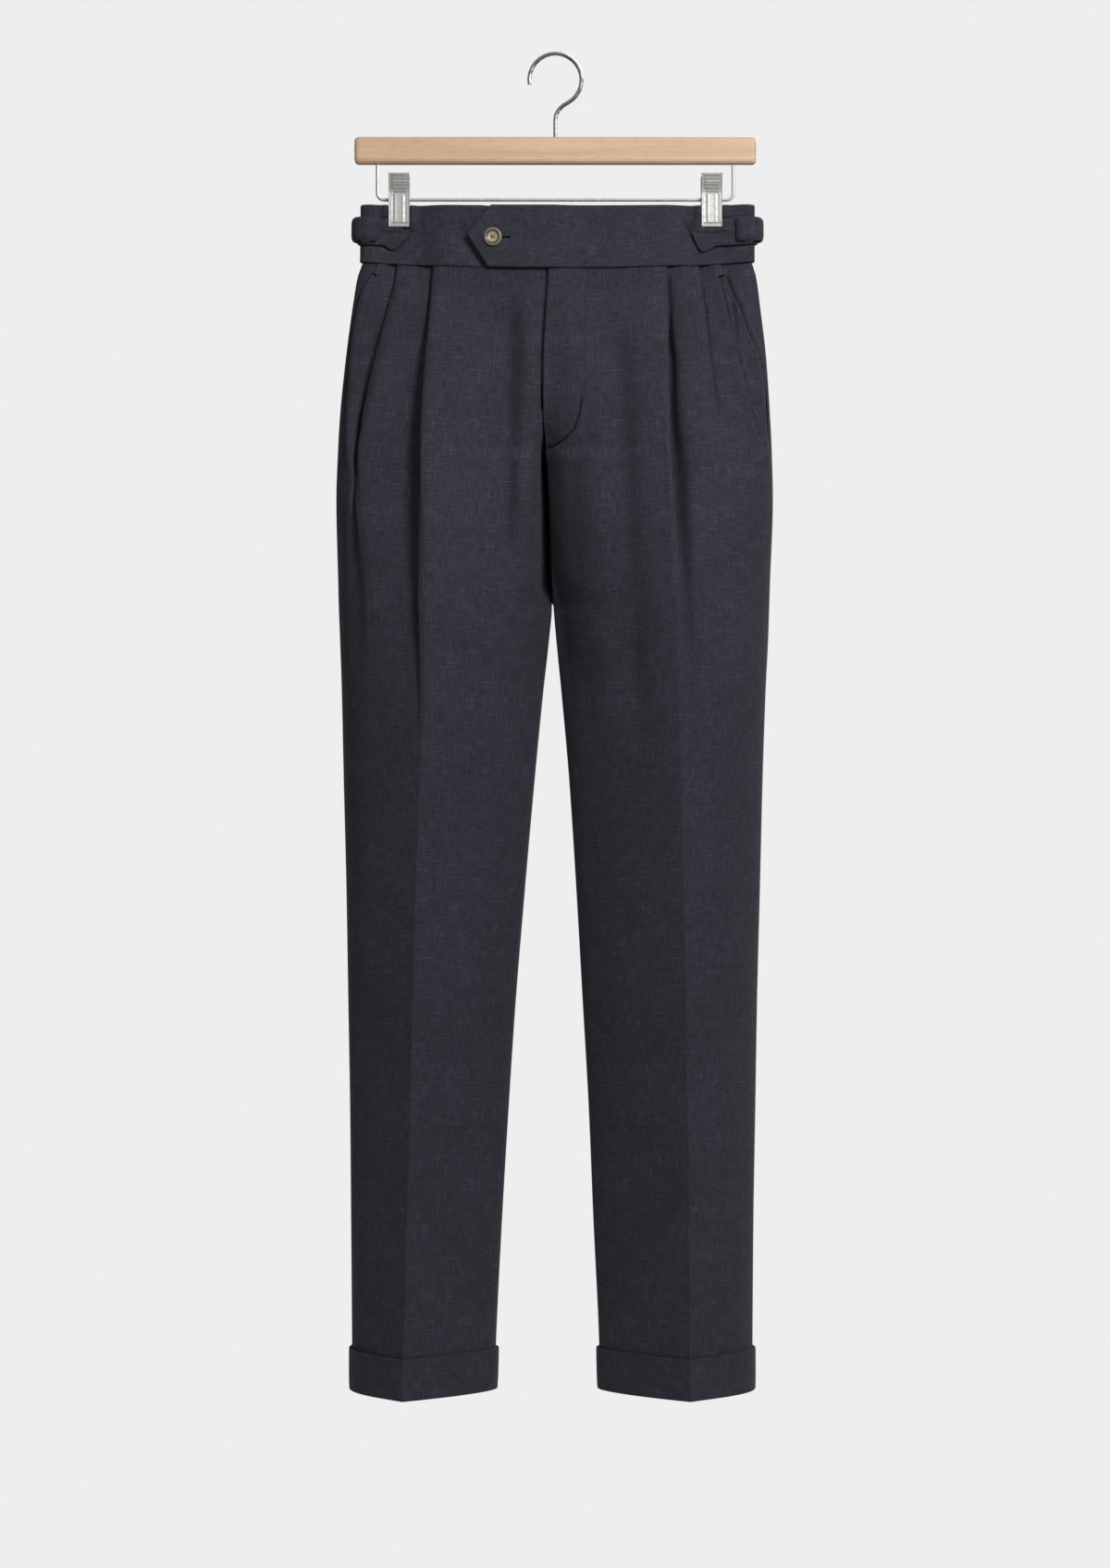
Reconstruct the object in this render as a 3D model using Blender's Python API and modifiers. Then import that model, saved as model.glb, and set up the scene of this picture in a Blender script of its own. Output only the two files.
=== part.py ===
"""Pleated dress trousers, gripped at the waistband by a wooden clip hanger.

Heights run down from the hook: z = 0 is the inside of the hook's bend, where it sits on a rail.
The front of the trousers faces -Y and the wearer's left is +X. Tables are in millimetres.
"""
import math

import bmesh
import bpy
import numpy as np
from mathutils import Matrix, Vector

MM = 0.001

# cloth
WALL = 1.4                 # one layer of linen with its seam allowances
SEAM_GAP = 0.4             # between two panels that meet at a seam
LAYER = 2.2                # from one layer of a pleat to the next
WAISTBAND_WALL = 3.0
WAISTBAND_PROUD = 2.2      # outer face of the waistband in front of the panels
CUFF_WALL = 1.8
STRAP_WALL = 1.9
LOOP_WALL = 1.8

# heights of the trousers
WAIST_TOP = -137.5
WAIST_SEAM = -190.2
CROTCH = -505.0
POCKET_END = -367.0
CUFF_TOP = -1186.0
LEG_END = -1222.5
HEM = -1224.0
HALF_WAIST = 182.0

# closing: the left front laps over the right
FLY_PROUD = 2.5
FLY_UNDERLAP = 16.0
FLY_END = -378.0
UNDERLAP_END = -320.0
MOUTH_END = -384.0
POCKET_PROUD = 2.2
TAB_PROUD = WAISTBAND_PROUD + WAISTBAND_WALL + 0.3
TAB_TIP = -81.2
TAB_CORNER_TOP = -58.7
TAB_CORNER_BOTTOM = -61.6
TAB_TIP_HEIGHT = -163.0

# hanger
BAR_SIZE = (369.0, 13.0, 25.0)
BAR_TOP = -75.0
BAR_BEVEL = 4.0
HOOK_WIRE = 1.9
HOOK_RADIUS = 24.0
FRAME_WIRE = 1.7
FRAME_HALF = 163.4
ROD_HEIGHT = -132.4
ROD_BEND = 6.0
SOCKET_CLEARANCE = 0.35
CLIP_X = 143.4
CLIP_WIDTH = 18.0
CLIP_TOP = -109.4
CLIP_BOTTOM = -158.7
JAW_WALL = 1.4


class Table:
    """A short table with named columns, read at any height on a smooth curve."""

    def __init__(self, columns, *rows):
        self.columns = columns.split()
        self.rows = np.array(sorted(rows), dtype=float)

    def at(self, name, height):
        x = self.rows[:, 0]
        y = self.rows[:, self.columns.index(name)]
        height = min(max(height, x[0]), x[-1])
        i = int(min(max(np.searchsorted(x, height) - 1, 0), len(x) - 2))
        step = np.diff(x)
        rise = np.diff(y) / step
        slope = np.empty(len(x))
        slope[0], slope[-1] = rise[0], rise[-1]
        before, after = rise[:-1], rise[1:]
        flat = before * after <= 0.0
        total = np.where(flat, 1.0, before + after)
        slope[1:-1] = np.where(flat, 0.0, 2.0 * before * after / total)
        t = (height - x[i]) / step[i]
        return float(
            y[i] * (1 + 2 * t) * (1 - t) ** 2 + y[i + 1] * t * t * (3 - 2 * t)
            + step[i] * (slope[i] * t * (1 - t) ** 2 + slope[i + 1] * t * t * (t - 1)))


# x of the silhouette and of the pressed creases, seen from the front
OUTLINE = Table(
    "height right_outer right_crease right_inner left_inner left_crease left_outer",
    (-137.0, -176.9, -113.0, -6.4, -6.4, 103.5, 181.0),
    (-188.0, -177.5, -113.0, -6.4, -6.4, 103.5, 180.9),
    (-204.0, -182.1, -115.0, -6.8, -6.8, 103.8, 184.8),
    (-229.0, -186.3, -117.8, -8.4, -8.4, 104.2, 188.2),
    (-280.0, -193.1, -120.1, -11.0, -11.0, 104.2, 194.1),
    (-331.0, -198.2, -121.8, -11.2, -11.2, 104.0, 197.5),
    (-361.0, -200.0, -122.0, -9.0, -9.0, 104.1, 199.0),
    (-408.0, -201.6, -121.7, -6.5, -6.5, 104.5, 200.1),
    (-484.0, -199.9, -120.0, -3.6, -3.6, 107.3, 197.5),
    (-505.0, -199.4, -119.2, -2.8, -2.3, 107.9, 196.8),
    (-535.0, -198.2, -118.2, -5.3, 0.2, 108.6, 195.8),
    (-586.0, -196.5, -117.6, -10.9, 5.2, 110.1, 193.3),
    (-663.0, -194.8, -121.4, -18.4, 12.0, 112.3, 190.7),
    (-765.0, -192.3, -125.3, -27.5, 18.7, 115.2, 188.2),
    (-867.0, -190.6, -128.2, -35.9, 24.5, 117.0, 185.6),
    (-969.0, -188.9, -130.8, -42.7, 30.3, 118.8, 183.9),
    (-1071.0, -188.0, -133.8, -48.7, 34.5, 120.3, 182.2),
    (-1173.0, -187.2, -136.3, -53.8, 39.4, 120.8, 181.4),
    (-1224.0, -186.9, -137.3, -55.6, 40.9, 121.1, 181.2),
)

# depth in front of and behind the side seams, and how full each face of a leg is
DEPTH = Table(
    "height centre_front crease_front crease_back centre_back fullness side_round",
    (-137.0, 14.0, 12.0, 12.0, 13.0, 1.0, 0.90),
    (-195.0, 14.5, 13.0, 13.5, 14.0, 1.0, 0.90),
    (-229.0, 18.5, 18.5, 21.0, 19.0, 0.95, 0.80),
    (-280.0, 24.0, 31.0, 35.0, 28.0, 0.85, 0.65),
    (-331.0, 29.0, 45.0, 49.0, 37.0, 0.75, 0.58),
    (-408.0, 27.0, 65.0, 69.0, 44.0, 0.65, 0.52),
    (-455.0, 17.0, 73.0, 79.0, 38.0, 0.66, 0.50),
    (-484.0, 5.0, 76.0, 83.0, 25.0, 0.72, 0.50),
    (-500.0, -5.0, 77.0, 84.0, 13.0, 0.76, 0.50),
    (-505.0, -8.0, 77.5, 84.0, 8.0, 0.78, 0.50),
    (-535.0, -6.0, 78.0, 84.0, 6.0, 0.78, 0.50),
    (-586.0, -3.0, 77.5, 82.0, 3.0, 0.68, 0.50),
    (-663.0, -1.0, 75.0, 78.0, 1.0, 0.54, 0.50),
    (-969.0, 0.0, 69.0, 70.0, 0.0, 0.40, 0.46),
    (-1224.0, 0.0, 68.0, 67.0, 0.0, 0.35, 0.44),
)

# how the panels leave the centre seams: length of that stretch and its turn inwards in degrees
CENTRE = Table(
    "height front_reach front_turn back_reach back_turn",
    (-137.0, 30.0, 0.0, 30.0, 0.0),
    (-192.0, 30.0, 0.0, 20.0, 0.0),
    (-206.0, 30.0, 0.0, 5.0, 90.0),
    (-331.0, 30.0, 0.0, 14.0, 90.0),
    (-362.0, 22.0, 0.0, 17.0, 90.0),
    (-378.0, 12.0, 90.0, 18.0, 90.0),
    (-455.0, 24.0, 90.0, 26.0, 90.0),
    (-505.0, 40.0, 90.0, 40.0, 90.0),
    (-663.0, 26.0, 90.0, 26.0, 90.0),
    (-1224.0, 20.0, 90.0, 20.0, 90.0),
)

# the side seam, set in from the silhouette towards the front
SIDE_SEAM = Table(
    "height right left",
    (-188.0, 0.6, 0.6),
    (-229.0, 1.0, 0.9),
    (-265.0, 2.0, 1.3),
    (-304.0, 3.6, 2.0),
    (-343.0, 6.0, 3.0),
    (-369.0, 8.8, 4.4),
    (-392.0, 11.0, 3.6),
    (-440.0, 9.0, 3.2),
    (-502.0, 7.0, 3.0),
    (-586.0, 5.5, 3.0),
    (-1224.0, 5.0, 3.0),
)

# x of the slanted pocket mouth
POCKET = Table(
    "height right left",
    (-188.0, -161.0, 150.0),
    (-204.0, -170.0, 155.5),
    (-218.0, -177.0, 162.8),
    (-231.0, -180.3, 169.3),
    (-249.0, -183.5, 175.0),
    (-265.0, -186.0, 180.0),
    (-278.0, -187.0, 184.6),
    (-304.0, -188.6, 188.9),
    (-343.0, -190.8, 192.2),
    (-369.0, -190.6, 193.6),
)

# x of the second pleat's fold
SECOND_PLEAT = Table(
    "height right left",
    (-188.0, -143.5, 130.0),
    (-206.0, -146.6, 131.5),
    (-243.0, -156.0, 136.0),
    (-271.0, -163.5, 139.0),
    (-310.0, -172.6, 143.0),
    (-345.0, -179.6, 146.5),
    (-375.0, -183.2, 149.5),
    (-400.0, -182.0, 152.0),
    (-500.0, -168.0, 158.0),
    (-650.0, -165.0, 158.0),
    (-1224.0, -166.0, 156.0),
)

# the pleats: depth of the fold, how far its step has not yet opened, how proud its edge stands,
# and the hollows that the opened pleats leave beside the creases
PLEAT_FORM = Table(
    "height first_depth first_step first_lift second_depth second_step second_lift right left",
    (-188.0, 13.0, 1.0, 1.3, 10.5, 1.0, 1.2, 0.0, 0.0),
    (-228.0, 12.0, 1.0, 1.6, 9.5, 1.0, 1.6, 1.0, 0.0),
    (-255.0, 11.0, 1.0, 1.8, 7.5, 1.0, 1.6, 4.0, 2.0),
    (-290.0, 9.5, 1.0, 2.0, 5.5, 1.0, 1.6, 9.0, 6.5),
    (-323.0, 8.0, 1.0, 2.2, 3.0, 1.0, 1.6, 14.0, 10.5),
    (-345.0, 5.0, 1.0, 2.4, 1.5, 1.0, 1.5, 16.0, 13.0),
    (-375.0, 0.0, 1.0, 2.6, 0.0, 0.8, 1.2, 17.0, 14.5),
    (-395.0, 0.0, 0.8, 2.6, 0.0, 0.3, 0.5, 17.0, 14.5),
    (-430.0, 0.0, 0.3, 2.4, 0.0, 0.0, 0.0, 17.0, 12.5),
    (-480.0, 0.0, 0.0, 1.6, 0.0, 0.0, 0.0, 14.5, 6.0),
    (-545.0, 0.0, 0.0, 0.6, 0.0, 0.0, 0.0, 8.0, 2.0),
    (-640.0, 0.0, 0.0, 0.0, 0.0, 0.0, 0.0, 0.0, 0.0),
    (-1224.0, 0.0, 0.0, 0.0, 0.0, 0.0, 0.0, 0.0, 0.0),
)

# soft troughs (or ridges, below 0) that hang in the cloth: face (-1 front, 1 back), x and z of
# the upper and lower end, reach towards -x and +x, depth
TROUGHS = (
    (-1, -41.5, -200.0, -48.0, -510.0, 28.0, 10.5, 11.5),
    (-1, -8.0, -190.0, -6.0, -440.0, 14.0, 15.0, 2.6),
    (-1, -8.0, -320.0, -1.0, -640.0, 14.0, 28.0, 10.5),
    (-1, -8.0, -332.0, -3.0, -600.0, 9.0, 12.0, 8.0),
    (-1, 54.0, -225.0, 76.0, -660.0, 22.0, 12.0, 6.5),
    (-1, -180.0, -380.0, -177.0, -900.0, 14.0, 18.0, -4.5),
    (-1, 17.0, -330.0, 17.0, -520.0, 8.0, 8.0, 1.6),
    (-1, -96.0, -300.0, -96.0, -620.0, 9.0, 9.0, 1.4),
    (-1, -166.0, -420.0, -166.0, -640.0, 10.0, 10.0, 1.6),
    (-1, 152.0, -300.0, 152.0, -560.0, 12.0, 12.0, 1.6),
    (1, -62.0, -230.0, -62.0, -520.0, 16.0, 16.0, 3.4),
    (1, 58.0, -240.0, 58.0, -500.0, 15.0, 15.0, 3.8),
    (1, 150.0, -300.0, 150.0, -620.0, 17.0, 17.0, 3.0),
    (1, -148.0, -320.0, -148.0, -600.0, 16.0, 16.0, 2.6),
)

# outlines of the pointed adjuster straps: x, upper edge, lower edge
STRAPS = {
    "right": ((-135.6, -163.9, -165.5), (-148.0, -150.2, -177.2), (-158.0, -150.2, -173.6)),
    "left": ((124.0, -161.3, -162.9), (134.0, -151.0, -178.0), (148.0, -150.4, -173.8)),
}
STRAP_TOP = -150.2
STRAP_BOTTOM = -173.8
LOOP_TOP = -149.8
LOOP_BOTTOM = -169.8
LOOP_FRONT = {"right": -164.9, "left": 167.5}

SIGN = {"right": -1, "left": 1}
OTHER = {"right": "left", "left": "right"}


def smooth(value):
    """0 below 0, 1 above 1 and an even rise between."""
    value = min(max(value, 0.0), 1.0)
    return value * value * (3 - 2 * value)


def bezier(a, b, c, d, count):
    t = np.linspace(0.0, 1.0, count)[:, None]
    return (1 - t) ** 3 * a + 3 * t * (1 - t) ** 2 * b + 3 * t * t * (1 - t) * c + t ** 3 * d


def clip_pinch(x, height):
    """Share of the depth that the clips press out of the waist."""
    away = abs(abs(x) - CLIP_X)
    inward = abs(x) < CLIP_X
    across = 1 - smooth((away - 11.0) / (36.0 if inward else 25.0))
    down = 1 - smooth((-178.0 - height) / 52.0)
    return 0.78 * across * down


def trough(x, height, face):
    depth = 0.0
    for side, x0, top, x1, bottom, left, right, deep in TROUGHS:
        along = smooth((top - height) / 60.0) * smooth((height - bottom) / 90.0)
        if side == face and along > 0.0:
            away = x - x0 - (x1 - x0) * (top - height) / (top - bottom)
            away /= left if away < 0.0 else right
            depth += deep * along * math.exp(-away ** 2)
    return depth


class Ring:
    """One side's outer surface at one height, from centre front round the side to centre back.

    Places on it are arc lengths from the outermost point, positive towards the front.
    """
    cache = {}

    def __init__(self, side, height):
        self.side = side
        self.height = height
        sign = SIGN[side]
        depth = {name: DEPTH.at(name, height) for name in DEPTH.columns[1:]}
        if height <= CROTCH:
            depth["centre_front"] = -depth["centre_back"]
        centre = {name: CENTRE.at(name, height) for name in CENTRE.columns[1:]}
        outer = OUTLINE.at(side + "_outer", height)
        crease = OUTLINE.at(side + "_crease", height)
        inner = OUTLINE.at(side + "_inner", height)
        back_inner = inner
        if height > CROTCH:
            back_inner = OUTLINE.at(side + "_inner", CROTCH)
        if centre["front_turn"] > 0.0:
            inner += sign * SEAM_GAP / 2
        if centre["back_turn"] > 0.0:
            back_inner += sign * SEAM_GAP / 2
        widest = np.array((outer, 0.0))
        arcs = []
        for face, middle, fold, mid_x, reach, turn in (
                (-1, depth["centre_front"], depth["crease_front"], inner,
                 centre["front_reach"], centre["front_turn"]),
                (1, depth["centre_back"], depth["crease_back"], back_inner,
                 centre["back_reach"], centre["back_turn"])):
            full = depth["fullness"]
            start = np.array((mid_x, face * middle))
            edge = np.array((crease, face * fold))
            inside = np.array((mid_x, face * fold))
            outside = np.array((outer, face * fold))
            angle = math.radians(turn)
            leave = start + reach * np.array((sign * math.cos(angle), face * math.sin(angle)))
            arrive = edge + 0.4 * ((start - edge) * (1 - full) + (inside - edge) * full)
            depart = edge + 0.4 * ((widest - edge) * (1 - full) + (outside - edge) * full)
            turned = widest + depth["side_round"] * (outside - widest)
            near = bezier(start, leave, arrive, edge, 48)
            far = bezier(edge, depart, turned, widest, 48)
            arcs.append((near, far))
        front = np.vstack((arcs[0][0], arcs[0][1][1:]))
        back = np.vstack((arcs[1][0], arcs[1][1][1:]))[::-1]
        points = np.vstack((front, back[1:]))
        for i, (x, y) in enumerate(points):
            face = -1 if i < len(front) else 1
            y -= face * trough(x, height, face) * min(1.0, max(0.0, face * y / 20.0))
            points[i, 1] = y * (1 - clip_pinch(x, height))
        steps = np.diff(points, axis=0)
        lengths = np.hypot(steps[:, 0], steps[:, 1])
        along = np.concatenate(([0.0], np.cumsum(lengths)))
        self.points = points
        self.along = along[len(front) - 1] - along
        self.total = self.along[0]
        self.back_total = self.along[-1]
        self.crease = self.along[len(arcs[0][0]) - 1]
        self.back_crease = self.along[len(points) - len(arcs[1][0])]
        self.front_count = len(front)
        across = np.stack((steps[:, 1], -steps[:, 0]), axis=1) / lengths[:, None] * sign
        first = np.vstack((across[:1], across))
        second = np.vstack((across, across[-1:]))
        corner = 1.0 + np.sum(first * second, axis=1)
        self.normals = (first + second) / corner[:, None]

    @classmethod
    def get(cls, side, height):
        key = (side, round(height, 4))
        if key not in cls.cache:
            cls.cache[key] = cls(side, height)
        return cls.cache[key]

    def point(self, place, out):
        """The point at an arc length, moved out from the surface; past centre front it carries on."""
        if place > self.total + 1e-9:
            other = Ring.get(OTHER[self.side], self.height)
            return other.point(other.total - (place - self.total), out)
        order = self.along[::-1]
        at = [float(np.interp(place, order, column[::-1])) for column in self.points.T]
        normal = [float(np.interp(place, order, column[::-1])) for column in self.normals.T]
        return at[0] + out * normal[0], at[1] + out * normal[1]

    def place_at(self, x, back=False):
        """Arc length of the point on the front, or the back, that has this x."""
        sign = SIGN[self.side]
        count = self.front_count
        if back:
            reach = self.points[count - 1:, 0] * sign
            places = self.along[count - 1:]
        else:
            reach = self.points[:count, 0][::-1] * sign
            places = self.along[:count][::-1]
        if not back and x * sign < reach[-1]:
            return self.total + reach[-1] - x * sign
        order = np.argsort(reach)
        return float(np.interp(x * sign, reach[order], places[order]))


def lower(x, height):
    """Height of a cloth point: the waist dips towards the middle."""
    dip = 2.5 + 4.5 * smooth((WAIST_TOP - height) / (WAIST_TOP - WAIST_SEAM))
    dip *= 1 - smooth((WAIST_SEAM - height) / 130.0)
    return height - dip * max(0.0, 1 - (x / HALF_WAIST) ** 2)


def spot(ring, place, out):
    x, y = ring.point(place, out)
    return Vector((x, y, lower(x, ring.height))) * MM


# ---------------------------------------------------------------- cloth pieces

def front_edge(side, ring):
    """Arc length of the front panel's outer edge: the pocket mouth, then the side seam."""
    seam = seam_place(side, ring) + SEAM_GAP
    if ring.height < POCKET_END:
        return seam
    return max(seam + 1.4, ring.place_at(POCKET.at(side, ring.height)))


def seam_place(side, ring):
    outer = OUTLINE.at(side + "_outer", ring.height)
    return ring.place_at(outer - SIGN[side] * SIDE_SEAM.at(side, ring.height))


def pleat(fold, depth, step, lift):
    """Columns of an outward-facing pleat: flat up to its edge, back under it and out again.

    As its depth runs out the fold turns into a step, and as the step runs out, into plain cloth.
    """
    top = lift - WALL / 2
    low = top - 2 * LAYER
    folded = (
        (depth + 2.5, top), (0.0, top), (-1.1, top - LAYER / 2), (0.0, top - LAYER),
        (depth, top - LAYER), (depth + 1.1, top - 1.5 * LAYER), (depth, low), (-2.8, low))
    opened = (
        (2.5, top), (0.0, top), (-0.8, top - 0.8), (-1.1, top - 1.7),
        (-1.3, top - 2.6), (-1.6, top - 3.5), (-2.3, low + 0.15), (-3.4, low))
    fold_share = smooth(depth / 3.5)
    columns = []
    for i, (shut, open_) in enumerate(zip(folded, opened)):
        back = shut[0] * fold_share + open_[0] * (1 - fold_share)
        out = shut[1] * fold_share + open_[1] * (1 - fold_share)
        fade = 1 - max(0, i - 1) / 6
        columns.append((fold + back * step + (1.0 - i) * (1 - step),
                        out * step + (lift * fade - WALL / 2) * (1 - step)))
    return columns


# the hollow beside the crease: how far out from the step, and its share of the full depth
HOLLOW = {
    "right": ((4.0, 0.25), (12.0, 0.85), (24.0, 0.95)),
    "left": ((4.0, 1.0), (11.0, 0.62), (20.0, 0.20)),
}


def front_row(side, height):
    ring = Ring.get(side, height)
    rest = -WALL / 2
    start = ring.total - SEAM_GAP / 2
    proud = 0.0
    if side == "left":
        proud = FLY_PROUD * smooth((height - FLY_END) / 14.0)
    else:
        start += FLY_UNDERLAP * smooth((height - UNDERLAP_END) / 36.0)
    form = {name: PLEAT_FORM.at(name, height) for name in PLEAT_FORM.columns[1:]}
    first = pleat(ring.crease, form["first_depth"], form["first_step"], form["first_lift"])
    second = pleat(ring.place_at(SECOND_PLEAT.at(side, height)),
                   form["second_depth"], form["second_step"], form["second_lift"])
    columns = []
    length = start - first[0][0]
    for share in (0.0, 0.015, 0.045, 0.078, 0.11, 0.16, 0.22, 0.38, 0.58, 0.79):
        out = rest + proud * (1 - smooth((share * length - 19.0) / 24.0))
        out += form["first_lift"] * smooth((share - 0.6) / 0.4)
        columns.append((start - share * length, out))
    columns += first
    room = first[-1][0] - second[0][0]
    for away, deep in HOLLOW[side]:
        share = min(away / room, 0.25 + 0.03 * away)
        place, out = between(first[-1], second[0], share)
        columns.append((place, out - deep * form[side]))
    columns += second
    edge = front_edge(side, ring)
    mouth = rest + POCKET_PROUD * smooth((height - MOUTH_END) / 14.0)
    hem = (edge + min(6.0, 0.6 * (second[-1][0] - edge)), mouth)
    columns.append(between(second[-1], hem, 0.5))
    columns += [hem, (edge, mouth)]
    return [spot(ring, place, out) for place, out in columns]


def between(first, second, share):
    """A column partway from one to the next, on an even rise."""
    return (first[0] + (second[0] - first[0]) * share,
            first[1] + (second[1] - first[1]) * smooth(share))


def back_row(side, height):
    ring = Ring.get(side, height)
    seam = seam_place(side, ring)
    crease = ring.back_crease
    places = [seam - step for step in (0.0, 2.2, 5.5, 10.0, 17.0, 27.0)]
    last = places[-1]
    places += [last + (crease + 1.2 - last) * share for share in (0.5, 1.0)]
    places += [crease, crease - 1.2]
    start = places[-1]
    end = ring.back_total + SEAM_GAP / 2
    for share in (0.15, 0.34, 0.54, 0.73, 0.87, 0.95, 0.985, 1.0):
        places.append(start + (end - start) * share)
    return [spot(ring, place, -WALL / 2) for place in places]


def facing_row(side, height):
    ring = Ring.get(side, height)
    mouth = front_edge(side, ring)
    last = seam_place(side, ring) + SEAM_GAP + 0.1
    span = mouth - last
    near = min(2.2, 0.35 * span)
    steps = (0.0, near, near + 0.3 * (span - near), near + 0.6 * (span - near), span, span + 4.0)
    return [spot(ring, last + step, -WALL / 2) for step in reversed(steps)]


WAIST_X = (6.0, 22.0, 42.0, 70.0, 95.0, 106.0, 115.0, 124.0, 134.0, 148.0, 158.0, 165.0, 170.0)
WAIST_TURN = (0.72, 0.48, 0.24, 0.0, -0.24, -0.48, -0.72)


def waist_places(side, ring):
    """Arc lengths round the waistband, from its front end to centre back."""
    sign = SIGN[side]
    places = [ring.place_at(sign * x) for x in WAIST_X]
    places += [places[-1] * share for share in WAIST_TURN]
    places += [ring.place_at(sign * x, back=True) for x in reversed(WAIST_X[1:])]
    places.append(ring.back_total + SEAM_GAP / 2)
    return places


def waistband_row(side, share):
    height = WAIST_TOP + (WAIST_SEAM - WAIST_TOP) * share
    ring = Ring.get(side, height)
    mid = WAISTBAND_PROUD - WAISTBAND_WALL / 2
    row = [spot(ring, place, mid) for place in waist_places(side, ring)]
    if side == "right":
        return [spot(ring, ring.total, mid)] + row[1:]
    tab = []
    lift = TAB_PROUD - WAISTBAND_WALL / 2
    corner = TAB_CORNER_TOP + (TAB_CORNER_BOTTOM - TAB_CORNER_TOP) * share
    for x in (TAB_TIP, -73.5, None, -45.0, -28.0, -12.0):
        x = corner if x is None else x
        level = share
        if x < corner:
            tip = (TAB_TIP_HEIGHT - WAIST_TOP) / (WAIST_SEAM - WAIST_TOP)
            narrow = max(0.03, (x - TAB_TIP) / (corner - TAB_TIP))
            level = tip + (share - tip) * narrow
        at = Ring.get(side, WAIST_TOP + (WAIST_SEAM - WAIST_TOP) * level)
        tab.append(spot(at, at.place_at(x), lift))
    tab += [spot(ring, ring.place_at(x), mid + (lift - mid) * share_out)
            for x, share_out in ((-2.0, 1.0), (3.0, 0.75), (10.0, 0.35))]
    return tab + [spot(ring, ring.place_at(17.0), mid + 0.1 * (lift - mid))] + row[1:]


def strap_column(side, ring_at, upper, lower_edge, out, rows=3):
    column = []
    for i in range(rows + 1):
        height = upper + (lower_edge - upper) * i / rows
        ring = Ring.get(side, height)
        column.append(spot(ring, ring_at(ring), out))
    return column


def strap_rows(side):
    """The strap lies on the waistband from its point, round the side and onto the back."""
    out = WAISTBAND_PROUD + 0.35 + STRAP_WALL / 2
    columns = []
    for x, upper, lower_edge in STRAPS[side]:
        columns.append(strap_column(side, lambda ring, x=x: ring.place_at(x), upper, lower_edge, out))
    sign = SIGN[side]
    for x in (165.0, 170.0):
        columns.append(strap_column(
            side, lambda ring, x=x: ring.place_at(sign * x), STRAP_TOP, STRAP_BOTTOM, out))
    for share in WAIST_TURN:
        columns.append(strap_column(
            side, lambda ring, share=share: share * ring.place_at(sign * 170.0),
            STRAP_TOP, STRAP_BOTTOM, out))
    for x in (170.0, 165.0):
        columns.append(strap_column(
            side, lambda ring, x=x: ring.place_at(sign * x, back=True),
            STRAP_TOP, STRAP_BOTTOM, out))
    return columns


def loop_rows(side):
    """The strap's turn stands off the waistband's edge, over the metal slide."""
    rest = WAISTBAND_PROUD + 0.35 + STRAP_WALL + 0.35 + LOOP_WALL / 2
    ring = Ring.get(side, (LOOP_TOP + LOOP_BOTTOM) / 2)
    front = ring.place_at(LOOP_FRONT[side])
    columns = []
    for share, lift in ((1.0, 0.0), (0.9, 0.9), (0.78, 2.5), (0.6, 3.1), (0.4, 3.2), (0.2, 3.1),
                        (0.0, 3.0), (-0.2, 3.0), (-0.4, 2.9), (-0.6, 2.4), (-0.8, 1.2), (-1.0, 0.0)):
        columns.append(strap_column(
            side, lambda ring, share=share: front * share, LOOP_TOP, LOOP_BOTTOM, rest + lift))
    return columns


def cuff_row(side, height, out):
    """A whole turn round the leg, a little outside it."""
    ring = Ring.get(side, height)
    places = []
    inseam = 16.0
    stops = (ring.total, ring.total - inseam, ring.crease + 1.5, ring.crease, ring.crease - 1.5,
             22.0, 0.0, -22.0, ring.back_crease + 1.5, ring.back_crease, ring.back_crease - 1.5,
             ring.back_total + inseam, ring.back_total)
    counts = (4, 5, 1, 1, 4, 3, 3, 4, 1, 1, 5, 4)
    for start, stop, count in zip(stops, stops[1:], counts):
        places += [start + (stop - start) * i / count for i in range(count)]
    return [spot(ring, place, out) for place in places]


def cloth(name, rows, wall, closed=False):
    """A sheet through rows of points, thickened evenly to both sides."""
    shape = bmesh.new()
    grid = [[shape.verts.new(point) for point in row] for row in rows]
    width = len(grid[0])
    for row, below in zip(grid, grid[1:]):
        for i in range(width if closed else width - 1):
            j = (i + 1) % width
            shape.faces.new((row[i], row[j], below[j], below[i]))
    bmesh.ops.remove_doubles(shape, verts=shape.verts, dist=0.00001)
    shape.normal_update()
    piece = finish(name, shape, "cloth")
    thick = piece.modifiers.new("wall", "SOLIDIFY")
    thick.thickness = wall * MM
    thick.offset = 0.0
    thick.use_even_offset = True
    return piece


PANEL_HEIGHTS = (
    WAIST_SEAM - 0.5, -200.0, -213.0, -231.0, -252.0, -276.0, -302.0, -326.0, -346.0, -358.0,
    POCKET_END, -376.0, -390.0, -412.0, -440.0, -470.0, -490.0, CROTCH, -518.0, -545.0,
    -590.0, -680.0, -820.0, -1000.0, CUFF_TOP + 3.0, LEG_END)


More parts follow.
